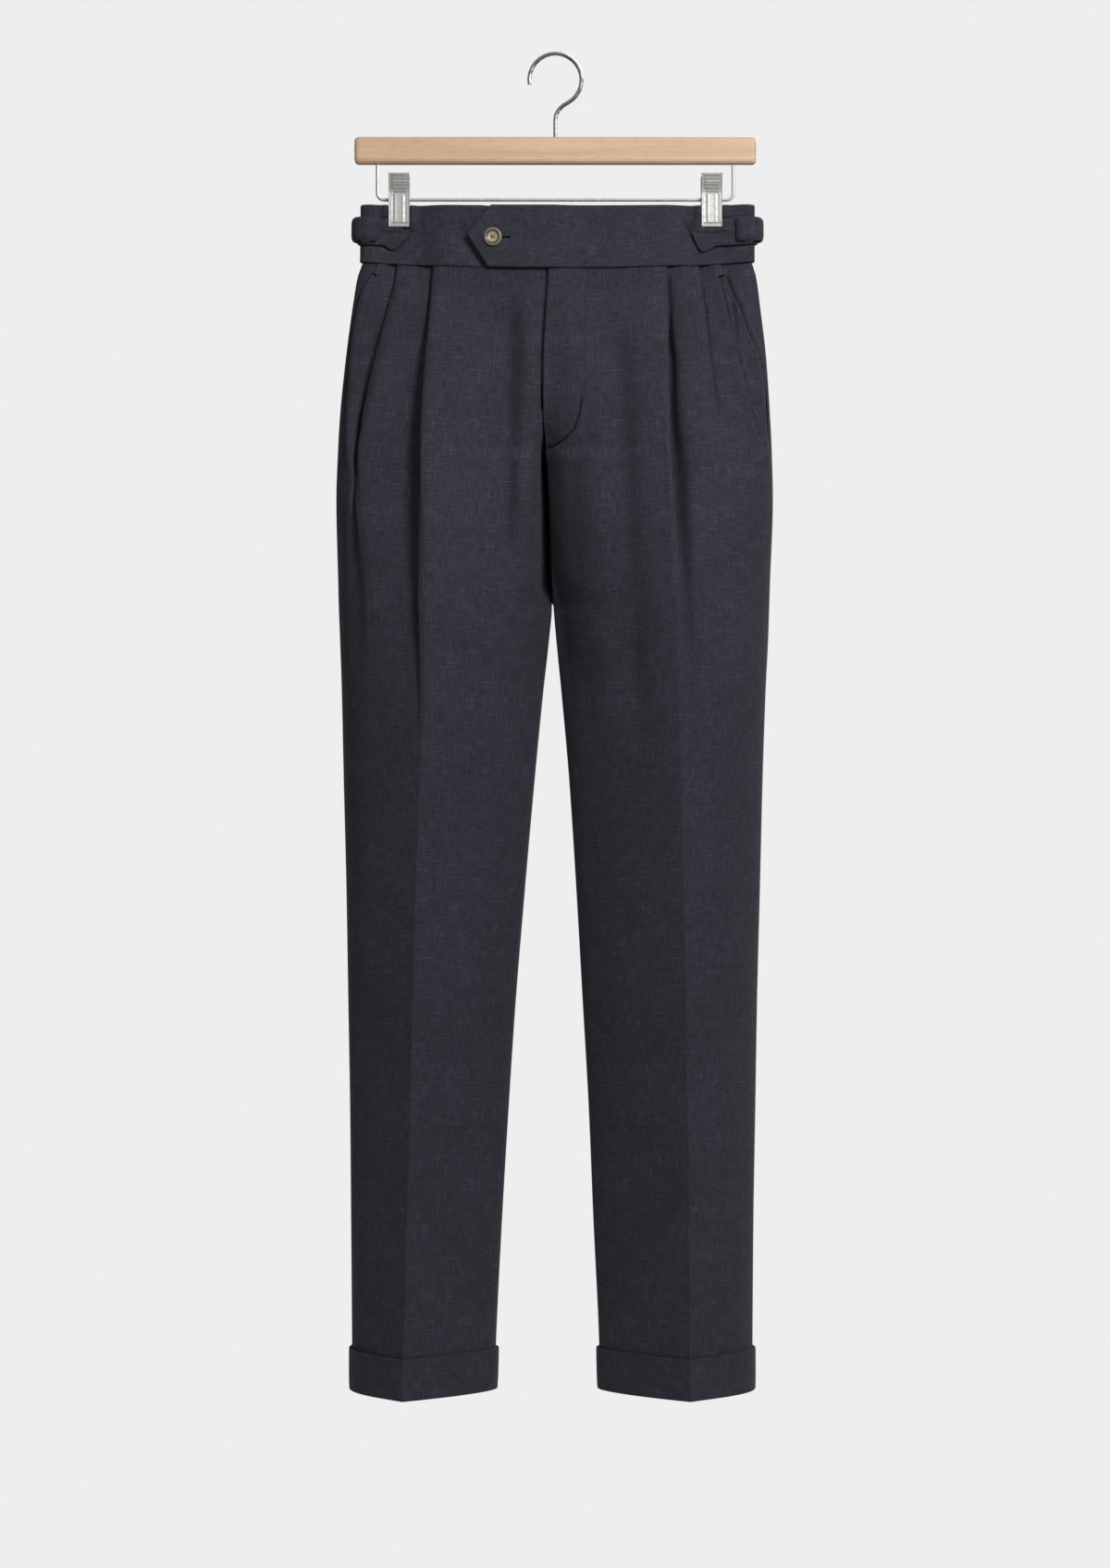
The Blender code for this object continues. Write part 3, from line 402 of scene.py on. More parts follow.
def crease_lift(x, height, face):
    """How far the small creases stand out of the cloth."""
    lift = np.zeros_like(x)
    for side, x0, z0, x1, z1, half, rise in CREASES:
        if z1 - 3 * half > height or height > z0 + 3 * half:
            continue
        along = np.array((x1 - x0, z1 - z0), dtype=float)
        length = math.hypot(*along)
        along /= length
        forward = (x - x0) * along[0] + (height - z0) * along[1]
        aside = (x - x0) * along[1] - (height - z0) * along[0]
        ends = smooth(forward / (0.35 * length)) * smooth((length - forward) / (0.45 * length))
        bend = aside + 0.06 * length * np.sin(forward / length * 5.0)
        lift += np.where(face == side, rise * ends * ridge(bend, half), 0.0)
    return lift


class Ring:
    """One side's outer surface at one height, from centre front round the side to centre back.

    Places on it are arc lengths from the outermost point, positive towards the front.
    """
    cache = {}

    def __init__(self, side, height):
        self.side = side
        self.height = height
        depth = DEPTH.all_at(height)
        if height <= CROTCH:
            depth["centre_front"] = -depth["centre_back"]
        front = self.face_points("front", -1, depth)
        back = self.face_points("back", 1, depth)[::-1]
        points = np.vstack((front, back[1:]))
        face = np.where(np.arange(len(points)) < len(front), -1, 1)
        x, y = points.T.copy()
        y -= face * trough(x, height, face) * np.clip(face * y / 20.0, 0.0, 1.0)
        points[:, 1] = y * (1 - clip_pinch(x, height))
        steps = np.diff(points, axis=0)
        lengths = np.hypot(steps[:, 0], steps[:, 1])
        along = np.concatenate(([0.0], np.cumsum(lengths)))
        self.points = points
        self.along = along[len(front) - 1] - along
        self.total = self.along[0]
        self.back_total = self.along[-1]
        self.crease = self.along[ARC_POINTS - 1]
        self.back_crease = self.along[-ARC_POINTS]
        self.front_count = len(front)
        across = np.stack((steps[:, 1], -steps[:, 0]), axis=1) / lengths[:, None] * SIGN[side]
        first = np.vstack((across[:1], across))
        second = np.vstack((across, across[-1:]))
        corner = 1.0 + np.sum(first * second, axis=1)
        self.normals = (first + second) / corner[:, None]

    def face_points(self, name, face, depth):
        """The front's or the back's two arcs: from the centre seam to the crease and the side."""
        sign = SIGN[self.side]
        centre = CENTRE.all_at(self.height)
        outer = OUTLINE.at(self.side + "_outer", self.height)
        crease = OUTLINE.at(self.side + "_crease", self.height)
        level = self.height if name == "front" else min(self.height, CROTCH)
        inner = OUTLINE.at(self.side + "_inner", level)
        if centre[name + "_turn"] > 0.0:
            inner += sign * SEAM_GAP / 2
        fold = face * depth["crease_" + name]
        start = np.array((inner, face * depth["centre_" + name]))
        edge = np.array((crease, fold))
        inside = np.array((inner, fold))
        outside = np.array((outer, fold))
        widest = np.array((outer, 0.0))
        angle = math.radians(centre[name + "_turn"])
        ahead = np.array((sign * math.cos(angle), face * math.sin(angle)))
        leave = start + centre[name + "_reach"] * ahead
        full = depth["fullness"]
        arrive = edge + FOLD_REACH * ((start - edge) * (1 - full) + (inside - edge) * full)
        depart = edge + FOLD_REACH * ((widest - edge) * (1 - full) + (outside - edge) * full)
        turned = widest + depth["side_round"] * (outside - widest)
        near = bezier(start, leave, arrive, edge)
        far = bezier(edge, depart, turned, widest)
        return np.vstack((near, far[1:]))

    @classmethod
    def get(cls, side, height):
        key = (side, round(height, 3))
        if key not in cls.cache:
            cls.cache[key] = cls(side, height)
        return cls.cache[key]

    def flat_points(self, places, outs):
        """Points at arc lengths, moved out from the surface; past centre front they carry on."""
        places = np.asarray(places, dtype=float)
        outs = np.broadcast_to(np.asarray(outs, dtype=float), places.shape)
        order = self.along[::-1]
        found = np.stack([np.interp(places, order, column[::-1])
                          for column in (*self.points.T, *self.normals.T)], axis=-1)
        result = found[..., :2] + outs[..., None] * found[..., 2:]
        past = places > self.total + 1e-9
        if past.any():
            other = Ring.get(OTHER[self.side], self.height)
            beyond = other.total - (places[past] - self.total)
            result[past] = other.flat_points(beyond, outs[past])
        return result

    def points_at(self, places, outs):
        """Points in metres, with the small creases and the dip of the waist."""
        places = np.asarray(places, dtype=float)
        base = self.flat_points(places, outs)
        face = np.where(places > 0.0, -1, 1)
        lift = crease_lift(base[..., 0], self.height, face) * smooth(np.abs(places) / 18.0)
        if np.any(lift):
            base = self.flat_points(places, np.asarray(outs) + lift)
        z = lower(base[..., 0], self.height)
        return np.stack((base[..., 0], base[..., 1], z), axis=-1) * MM

    def place_at(self, x, back=False):
        """Arc length of the point on the front, or the back, that has this x."""
        sign = SIGN[self.side]
        count = self.front_count
        if back:
            reach = self.points[count - 1:, 0] * sign
            places = self.along[count - 1:]
        else:
            reach = self.points[:count, 0][::-1] * sign
            places = self.along[:count][::-1]
        if not back and x * sign < reach[-1]:
            return self.total + reach[-1] - x * sign
        order = np.argsort(reach)
        return float(np.interp(x * sign, reach[order], places[order]))


def lower(x, height):
    """Height of a cloth point: the waist dips towards the middle."""
    share = smooth((WAIST_TOP - height) / (WAIST_TOP - WAIST_SEAM))
    dip = TOP_DIP + (SEAM_DIP - TOP_DIP) * share
    dip = dip * (1 - smooth((WAIST_SEAM - height) / 130.0))
    return height - dip * np.maximum(0.0, 1 - (x / HALF_WAIST) ** 2)


def spot(ring, place, out):
    """One point at an arc length, moved out from the surface, in metres."""
    return Vector(ring.points_at(np.array([place]), np.array([out]))[0])


def curve_through(knots, counts):
    """A smooth curve through a row of columns, with a number of steps in each span."""
    knots = np.asarray(knots, dtype=float)
    chord = np.sqrt(np.maximum(np.hypot(*np.diff(knots, axis=0).T), 1e-6))
    t = np.concatenate(([0.0], np.cumsum(chord)))
    rise = np.diff(knots, axis=0) / chord[:, None]
    slope = np.empty_like(knots)
    slope[0], slope[-1] = rise[0], rise[-1]
    weight = (chord[1:] / (chord[:-1] + chord[1:]))[:, None]
    slope[1:-1] = rise[:-1] * weight + rise[1:] * (1 - weight)
    spans = np.repeat(np.arange(len(counts)), counts)
    share = np.concatenate([np.arange(count) / count for count in counts])
    h = chord[spans][:, None]
    s = share[:, None]
    points = hermite(knots[spans], knots[spans + 1], slope[spans], slope[spans + 1], h, s)
    return np.vstack((points, knots[-1:]))


# ---------------------------------------------------------------- panels

def seam_place(side, ring):
    """Arc length of the side seam."""
    outer = OUTLINE.at(side + "_outer", ring.height)
    return ring.place_at(outer - SIGN[side] * SIDE_SEAM.at(side, ring.height))


def front_edge(side, ring):
    """Arc length of the front panel's outer edge: the pocket mouth, then the side seam."""
    seam = seam_place(side, ring) + SEAM_GAP
    if ring.height < POCKET_END:
        return seam
    return max(seam + 1.4, ring.place_at(POCKET.at(side, ring.height)))


def pleat(fold, depth, step, lift, sink):
    """Columns of an outward-facing pleat: flat up to its edge, back under it and out again,
    where the cloth has fallen away by the sink."""
    top = lift - SOLID_WALL / 2
    low = top - 2 * LAYER
    folded = (
        (depth + 2.5, top), (0.0, top), (-1.1, top - LAYER / 2), (0.0, top - LAYER),
        (depth, top - LAYER), (depth + 1.1, top - 1.5 * LAYER), (depth, low - 0.3 * sink),
        (-2.8, low - sink))
    opened = (
        (2.5, top), (0.0, top), (-0.8, top - 0.8), (-1.1, top - 1.7),
        (-1.3, top - 2.6), (-1.6, top - 3.5), (-2.3, low + 0.15 - 0.5 * sink),
        (-3.4, low - sink))
    fold_share = smooth(depth / 3.5)
    columns = []
    for i, (shut, loose) in enumerate(zip(folded, opened)):
        back = shut[0] * fold_share + loose[0] * (1 - fold_share)
        out = shut[1] * fold_share + loose[1] * (1 - fold_share)
        fade = 1 - max(0, i - 1) / 6
        columns.append((fold + back * step + (3.5 - i) * (1 - step),
                        out * step + (lift * fade - SOLID_WALL / 2) * (1 - step)))
    return columns


def between(first, second, share):
    """A column part of the way from one to the next, on a soft slope."""
    return (first[0] + (second[0] - first[0]) * share,
            first[1] + (second[1] - first[1]) * smooth(share))


# columns of the front, as shares of the way from centre front to the crease
FRONT_SHARES = (0.0, 0.015, 0.045, 0.11, 0.22, 0.38, 0.58, 0.79)
# the hollow beside the crease: how far out from the step, and its share of the full depth
HOLLOW = {
    "right": ((2.5, 0.95), (9.0, 1.0), (21.0, 0.85)),
    "left": ((1.6, 1.0), (5.0, 0.92), (10.0, 0.14)),
}
# share of its depth right under the pleat's edge, and that of the cloth past the second pleat
SINK_SHARE = 0.85
BESIDE_SHARE = {"right": 0.34, "left": 0.05}
PLEAT_STEPS = (3, 3, 3, 3, 2, 3, 3)    # steps from each column to the next
FRONT_STEPS = {
    "right": (2, 3, 9, 15, 9, 8, 9, 12) + PLEAT_STEPS + (6, 6, 7, 8) + PLEAT_STEPS + (6, 10, 5),
    "left": (2, 3, 7, 12, 16, 9, 9, 12) + PLEAT_STEPS + (5, 6, 7, 7) + PLEAT_STEPS + (6, 18, 6),
}


def centre_columns(side, ring, end, lift):
    """Columns from centre front to the crease. The left fly stands proud, over the right one."""
    start = ring.total - SEAM_GAP / 2
    proud = 0.0
    if side == "left":
        proud = FLY_PROUD * smooth((ring.height - FLY_END) / 14.0)
    else:
        start += FLY_UNDERLAP * smooth((ring.height - UNDERLAP_END) / 36.0)
    columns = []
    length = start - end
    for share in FRONT_SHARES:
        out = proud * (1 - smooth((share * length - FLY_WIDTH) / FLY_SLOPE)) - SOLID_WALL / 2
        columns.append((start - share * length, out + lift * smooth((share - 0.6) / 0.4)))
    return columns


def hollow_columns(side, height, brink, end, depth):
    """Columns of the hollow between the crease and the second pleat."""
    columns = []
    for away, deep in HOLLOW[side]:
        if side == "left":
            away *= (1 + 0.7 * smooth((-305.0 - height) / 100.0)
                     - 0.5 * smooth((height + 295.0) / 50.0))
        share = min(away / (brink[0] - end[0]), 0.25 + 0.03 * away)
        place, out = between(brink, end, share)
        columns.append((place, out - deep * depth))
    return columns


def mouth_columns(side, ring, start, beside):
    """Columns past the second pleat, to the pocket mouth or the side seam."""
    edge = front_edge(side, ring)
    mouth = POCKET_PROUD * smooth((ring.height - MOUTH_END) / 14.0) - SOLID_WALL / 2
    hem = (edge + min(6.0, 0.6 * (start[0] - edge)), mouth)
    place, out = between(start, hem, 0.4)
    return [(place, out - beside), hem, (edge, mouth)]


def front_row(side, height):
    """The front at one height, as columns of arc length and distance out: from centre front over
    the crease with its pleat, the hollow beside it and the second pleat to the pocket mouth."""
    ring = Ring.get(side, height)
    form = PLEAT_FORM.all_at(height)
    hollow, step, second_step = form[side], form["first_step"], form["second_step"]
    sink = SINK_SHARE * hollow * step
    beside = BESIDE_SHARE[side] * hollow
    first = pleat(ring.crease, form["first_depth"], step, form["first_lift"], sink)
    second = pleat(ring.place_at(SECOND_PLEAT.at(side, height)), form["second_depth"],
                   second_step, form["second_lift"], 0.7 * beside * second_step)
    brink = (first[-1][0], first[-1][1] + sink * step)
    columns = centre_columns(side, ring, first[0][0], form["first_lift"]) + first
    columns += hollow_columns(side, height, brink, second[0], hollow) + second
    columns += mouth_columns(side, ring, second[-1], beside)
    return ring, curve_through(columns, FRONT_STEPS[side])


# columns of the back: arc lengths from the side seam, then shares of the way from the crease
BACK_FIRST = (0.0, 2.2, 5.5, 10.0, 17.0, 27.0)
BACK_SHARES = (0.15, 0.34, 0.54, 0.73, 0.87, 0.95, 0.985, 1.0)
BACK_FOLD = 1.2                        # from the crease to the columns on either side
BACK_STEPS = (2, 2, 2, 3, 4, 6, 6, 2, 2, 5, 6, 6, 6, 5, 3, 2, 2)


def back_row(side, height):
    """The back at one height, from the side seam over the crease to centre back."""
    ring = Ring.get(side, height)
    seam = seam_place(side, ring)
    crease = ring.back_crease
    places = [seam - step for step in BACK_FIRST]
    last = places[-1]
    places += [last + (crease + BACK_FOLD - last) * share for share in (0.5, 1.0)]
    places += [crease, crease - BACK_FOLD]
    start = places[-1]
    end = ring.back_total + SEAM_GAP / 2
    places += [start + (end - start) * share for share in BACK_SHARES]
    return ring, curve_through([(place, -SOLID_WALL / 2) for place in places], BACK_STEPS)


def facing_row(side, height):
    """The strip inside the pocket, from behind the mouth to the side seam."""
    ring = Ring.get(side, height)
    mouth = front_edge(side, ring)
    last = seam_place(side, ring) + SEAM_GAP + 0.1
    span = mouth - last
    near = min(2.2, 0.35 * span)
    steps = (0.0, near, near + 0.3 * (span - near), near + 0.6 * (span - near), span, span + 4.0)
    return ring, curve_through([(last + step, -SOLID_WALL / 2) for step in reversed(steps)],
                               (2, 4, 4, 4, 3))


def heights_between(stops, steps):
    """Heights from the first stop to the last, about a step apart in each stretch."""
    result = []
    for high, low, step in zip(stops, stops[1:], steps):
        count = max(1, round((high - low) / step))
        result += [high + (low - high) * i / count for i in range(count)]
    return result + [stops[-1]]


# heights of a panel's rows, close together at its top edge and where the pleats open
PANEL_TOP = WAIST_SEAM + 1.4
PANEL_HEIGHTS = heights_between(
    (PANEL_TOP, PANEL_TOP - 3.6, PANEL_TOP - 6.0, -318.0, -338.0, -360.0, CROTCH, -600.0,
     CUFF_TOP + 3.0, LEG_END),
    (0.45, 1.2, 3.6, 1.8, 1.1, 3.4, 4.5, 8.0, 10.0))


def grain(rows):
    """Weave coordinates of each point: arc length across and height along, in metres."""
    across, along = [], []
    for ring, columns in rows:
        run = run_of(columns)
        middle = np.argmin(np.abs(columns[:, 0] - ring.crease)) if columns[0, 0] > 0 else 0
        across.append(run - run[middle])
        along.append([ring.height] * len(columns))
    return np.stack((across, along), axis=-1) * MM


# ---------------------------------------------------------------- meshes

made = {}


def new_piece(name, mesh, material, slot, *replaced):
    """A piece of the scene, in the place of the part's nodes that it replaces."""
    piece = bpy.data.objects.new(name, mesh)
    SCENE.collection.objects.link(piece)
    mesh.materials.clear()
    mesh.materials.append(materials[material])
    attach(piece, "root")
    if replaced:
        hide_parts(*replaced)
    made[name] = piece


def facing_out(points):
    """Unit normals of a grid of points."""
    normal = np.cross(np.gradient(points, axis=1), np.gradient(points, axis=0))
    return normal / np.maximum(np.linalg.norm(normal, axis=-1, keepdims=True), 1e-12)


def along_fold(table, column, offset, top, bottom):
    """A line down the front beside a fold or an edge that a table gives."""
    return tuple((table.at(column, z) + offset, z) for z in np.linspace(top, bottom, 12))


# sewn and pressed lines, drawn into a piece's face (or standing out of it, below 0):
# points (x, z), half width, depth
FLY_EDGE = ((-6.4, -194), (-8.3, -226), (-10.3, -265), (-11.6, -304), (-11.2, -326))
FURROWS = {
    "front_left_cloth": (
        (FLY_STITCH[:4], 1.1, 0.5), (FLY_STITCH[3:], 1.3, 2.8), (POCKET_FOLD, 1.4, 1.9),
        (tuple((x + 5, z) for x, z in POCKET_FOLD), 4.5, 0.9),
        (tuple((x + 1.4, z) for x, z in FLY_EDGE[1:]), 2.6, -0.7),
        (along_fold(OUTLINE, "left_crease", 2.4, -206, -275), 1.6, 2.4),
        (along_fold(OUTLINE, "left_crease", -1.6, -230, -420), 2.4, -0.8),
        (along_fold(SECOND_PLEAT, "left", 1.8, -214, -335), 1.3, 1.8),
        (along_fold(SECOND_PLEAT, "left", -1.2, -206, -335), 1.6, -0.5),
        (((162.2, -226), (163.7, -238), (165.3, -257.6), (166.8, -268)), 1.6, 2.2),
        (along_fold(POCKET, "left", -1.2, -204, -366), 1.7, -1.6)),
    "front_right_cloth": (
        (((-167.5, -206), (-173, -232), (-179, -262), (-183.5, -300)), 1.6, 0.9),
        (tuple((x - 1.2, z) for x, z in FLY_EDGE), 1.8, 2.6),
        (along_fold(OUTLINE, "right_crease", -2.6, -206, -262), 1.5, 1.6),
        (along_fold(OUTLINE, "right_crease", 5, -270, -480), 6, -1.4),
        (along_fold(SECOND_PLEAT, "right", -2.2, -214, -385), 1.6, 1.6),
        (along_fold(POCKET, "right", 1.2, -204, -366), 1.6, -0.6)),
    "pocket_facing_left_cloth": ((along_fold(POCKET, "left", 1.3, -204, -366), 1.6, 4.4),),
    "pocket_facing_right_cloth": ((along_fold(POCKET, "right", -1.2, -204, -366), 1.4, 0.8),),
    "waistband_left_cloth": (
        (((117, -155.5), (122.4, -163.1), (133, -180.6), (149, -176), (178, -175.6)),
         1.6, 1.8),
        (((122.6, -162), (127, -149.5)), 1.5, 2.6),
        (((167, -148.6), (184, -148.6)), 1.2, 0.8),
        (((-48.6, -169.8), (-41.8, -169.8)), 0.8, 2.4)),
    "waistband_right_cloth": (
        (((-130, -157), (-134.4, -165.4), (-147.6, -179.6), (-159, -175.9), (-176, -175.6)),
         1.6, 1.8),
        (((-62, -137), (-61.5, -143)), 4, 1.8),
        (((-60.5, -141), (-84.5, -164.3)), 2.2, 1.3),
        (((-86, -165.5), (-66.5, -192)), 7.5, 3)),
    "adjuster_strap_left_cloth": (
        (((145.2, -160.5), (144.8, -173.4)), 0.9, 0.4), (((166.3, -150), (166.3, -172)), 1.2, 0.8)),
    "adjuster_strap_right_cloth": ((((-163.9, -150), (-163.9, -172)), 1.2, 0.8),),
}


# how far the cloth beside centre front falls back below the fly: height below the hook, depth
FLY_DIP = ((290, 0), (318, 2), (336, 5), (350, 8.5), (364, 8.5), (385, 5),
           (425, 3), (470, 1.2), (500, 0))


# how far the outside of the waistband's halves reaches past their inside at centre back
SLANTED_SEAM = {"waistband_left_cloth": 0.9, "waistband_right_cloth": -0.9}


def clip_pillow(name, x, z):
    """How far the cloth swells up close beside the front of a clip."""
    if not name.startswith(("waistband", "adjuster_strap")):
        return np.zeros(x.shape)
    x = np.abs(x)
    away = np.maximum(np.abs(x - CLIP_X) - CLIP_WIDTH / 2, CLIP_BOTTOM - z)
    swell = smooth((away - 0.8) / 0.8) * (1 - smooth((away - 2.2) / 8.0))
    groove = ridge(away - 0.2, 0.9)
    if name.startswith("waistband"):
        inner = smooth((z + 163.0) / 4.0) * (1 - smooth((x - 133.4) / 1.0))
        return 3.6 * swell * np.maximum(inner, smooth((z + 150.2) / 1.5)) - 1.8 * groove
    return 2.4 * swell * smooth((z + 164.0) / 3.0) - 0.8 * groove


def slot_depth(x, z):
    """How far the right front falls back between the legs, close under the fly's edge."""
    depth = 3.0 * smooth((-285.0 - z) / 30.0) + 17.0 * smooth((-335.0 - z) / 50.0)
    return depth * (smooth((x + 13.8) / 1.4) * smooth((z + 512.0) / 28.0) * MM)


def pressed(name, points, normal):
    """A front surface drawn in along its sewn lines and swollen beside the clips."""
    x, z = points[..., 0] / MM, points[..., 2] / MM
    depth = -clip_pillow(name, x, z)
    for line, half, deep in FURROWS[name]:
        away = np.full(x.shape, 1e9)
        for (x0, z0), (x1, z1) in zip(line, line[1:]):
            dx, dz = x1 - x0, z1 - z0
            share = np.clip(((x - x0) * dx + (z - z0) * dz) / (dx * dx + dz * dz), 0.0, 1.0)
            away = np.minimum(away, np.hypot(x - x0 - dx * share, z - z0 - dz * share))
        depth += deep * ridge(away, half)
    depth *= smooth(np.abs(normal[..., 1]) * 3.0 - 0.3) * (points[..., 1] < 0.0) * MM
    points = points + normal * (np.sign(normal[..., 1]) * depth)[..., None]
    if name == "front_right_cloth":
        sunk = slot_depth(x, z)
        points[..., 1] += sunk
        points[..., 0] -= 0.15 * sunk
    if name == "front_left_cloth":
        sunk = np.interp(-z, *np.array(FLY_DIP).T)
        points[..., 1] += sunk * ridge(x + 16.0, 12.0) * MM
    return points


EDGE_WALL = 0.4                        # share of the wall that is left at the very edge


def edge_share(line, wall):
    """Share of the wall at each point of a line: it rounds off towards both ends."""
    run = run_of(line)
    near = np.minimum(run, run[-1] - run) / (0.5 * wall * MM)
    arc = np.sqrt(np.maximum(0.0, 1 - (1 - np.minimum(near, 1.0)) ** 2))
    return arc * (1 - EDGE_WALL) + EDGE_WALL


def mesh_of(name, vertices, faces):
    mesh = bpy.data.meshes.new(name)
    mesh.from_pydata(vertices, [], faces)
    mesh.shade_smooth()
    return mesh


def lay_grain(mesh, coords):
    """Weave coordinates, given for each point of a mesh, on its faces' corners."""
    layer = mesh.uv_layers.new(name="grain")
    loops = np.empty(len(mesh.loops), dtype=np.int32)
    mesh.loops.foreach_get("vertex_index", loops)
    layer.data.foreach_set("uv", coords.reshape(-1, 2)[loops].ravel())


def grid_mesh(name, points, wall, coords, flip=False, soft_angle=55.0):
    """A sheet through a grid of points, thickened evenly to both sides, with soft edges."""
    rows, columns = points.shape[:2]
    normal = -facing_out(points) if flip else facing_out(points)
    if name in FURROWS:
        points = pressed(name, points, normal)
        normal = facing_out(points)
    thick = wall * MM * edge_share(points[:, columns // 2], wall)[:, None] * edge_share(
        points[rows // 2], wall)
    outer = points + normal * thick[..., None] / 2
    inner = points - normal * thick[..., None] / 2
    if name in SLANTED_SEAM:
        reach = points[:, -1] - points[:, -2]
        reach *= SLANTED_SEAM[name] * MM / np.linalg.norm(reach, axis=-1, keepdims=True)
        outer[:, -1] += reach
        inner[:, -1] -= reach
    vertices = np.concatenate((outer.reshape(-1, 3), inner.reshape(-1, 3)))
    total = rows * columns
    index = np.arange(total).reshape(rows, columns)
    quads = np.stack((index[:-1, :-1], index[1:, :-1], index[1:, 1:], index[:-1, 1:]), axis=-1)
    quads = quads.reshape(-1, 4)[:, ::-1] if flip else quads.reshape(-1, 4)
    rims = []
    for line, turned in ((index[0], False), (index[-1], True),
                         (index[:, 0], True), (index[:, -1], False)):
        rim = np.stack((line[:-1], line[1:], line[1:] + total, line[:-1] + total), axis=-1)
        rims.append(rim[:, ::-1] if turned != flip else rim)
    faces = np.concatenate((quads, quads[:, ::-1] + total, *rims))
    mesh = mesh_of(name, vertices.tolist(), faces.tolist())
    lay_grain(mesh, np.stack((coords, coords)))
    mesh.set_sharp_from_angle(angle=math.radians(soft_angle))
    mesh.update()
    return mesh


def new_cloth(kind, side, points, wall, coords):
    """A sewn sheet, in the place of the part's solid of the same kind and side."""
    name = "%s_%s_cloth" % (kind, side)
    mesh = grid_mesh(name, points, wall, coords)
    new_piece(name, mesh, "linen", "cloth", "%s_%s" % (kind, side))


# ---------------------------------------------------------------- materials

materials = {}


class Value:
    """A socket of a material's tree that sums can be written with."""

    def __init__(self, tree, socket):
        self.tree = tree
        self.socket = socket

    def is_vector(self):
        return self.socket.type in ("VECTOR", "RGBA")

    def sum(self, operation, other, turned=False):
        vector = self.is_vector() or isinstance(other, tuple) or (
            isinstance(other, Value) and other.is_vector())
        kind = "ShaderNodeVectorMath" if vector else "ShaderNodeMath"
        first, second = (other, self) if turned else (self, other)
        return make_node(self.tree, kind, (("operation", operation),), _0=first, _1=second)

    def __add__(self, other):
        return self.sum("ADD", other)

    def __radd__(self, other):
        return self.sum("ADD", other, True)

    def __sub__(self, other):
        return self.sum("SUBTRACT", other)

    def __rsub__(self, other):
        return self.sum("SUBTRACT", other, True)

    def __mul__(self, other):
        return self.sum("MULTIPLY", other)

    def __rmul__(self, other):
        return self.sum("MULTIPLY", other, True)


def make_node(tree, kind, settings=(), output=0, **sockets):
    """A node and its inputs, named as Scale or From_Min, or _0 for the first one."""
    node = tree.nodes.new(kind)
    for name, value in settings:
        setattr(node, name, value)
    for name, value in sockets.items():
        key = int(name[1:]) if name[0] == "_" else name.replace("_", " ")
        socket = node.inputs[key]
        if isinstance(value, Value):
            tree.links.new(value.socket, socket)
        else:
            socket.default_value = value
    return Value(tree, node.outputs[output])


def new_material(name, roughness, metallic=0.0, colour=(0.5, 0.5, 0.5), **constants):
    """A plain material and its shader, whose other settings are named as Coat_Weight."""
    material = bpy.data.materials.new(name)
    material.use_nodes = True
    tree = material.node_tree
    shader = tree.nodes["Principled BSDF"]
    shader.inputs["Base Color"].default_value = (*colour, 1.0)
    shader.inputs["Roughness"].default_value = roughness
    shader.inputs["Metallic"].default_value = metallic
    for key, value in constants.items():
        shader.inputs[key.replace("_", " ")].default_value = value
    materials[name] = material
    return tree, shader


def connect(tree, value, socket):
    tree.links.new(value.socket, socket)


def blend(tree, share, low, high):
    return make_node(tree, "ShaderNodeMix", (("data_type", "RGBA"), ("clamp_factor", True)),
                     output=2, _0=share, _6=(*low, 1.0) if isinstance(low, tuple) else low,
                     _7=(*high, 1.0) if isinstance(high, tuple) else high)


def noise(tree, vector, scale, detail, rough=0.5, warp=0.0):
    return make_node(tree, "ShaderNodeTexNoise", (), Vector=vector, Scale=scale, Detail=detail,
                     Roughness=rough, Distortion=warp)


def grain_coords(tree):
    return make_node(tree, "ShaderNodeUVMap", (("uv_map", "grain"),))


def object_coords(tree):
    return make_node(tree, "ShaderNodeTexCoord", (), output=3)


def bump_of(tree, shader, height, strength, distance):
    """Relief in the material, from a height that its tree works out."""
    bump = make_node(tree, "ShaderNodeBump", (), Strength=strength, Distance=distance,
                     Height=height)
    connect(tree, bump, shader.inputs["Normal"])


def curve_of(tree, value, low, high, to_low=0.0, to_high=1.0):
    return make_node(tree, "ShaderNodeMapRange", (("interpolation_type", "SMOOTHSTEP"),),
                     Value=value, From_Min=low, From_Max=high, To_Min=to_low, To_Max=to_high)


def slubs(tree, vector):
    """Short thick places in the threads."""
    return curve_of(tree, noise(tree, vector, 1.0, 0.0), 0.60, 0.78)


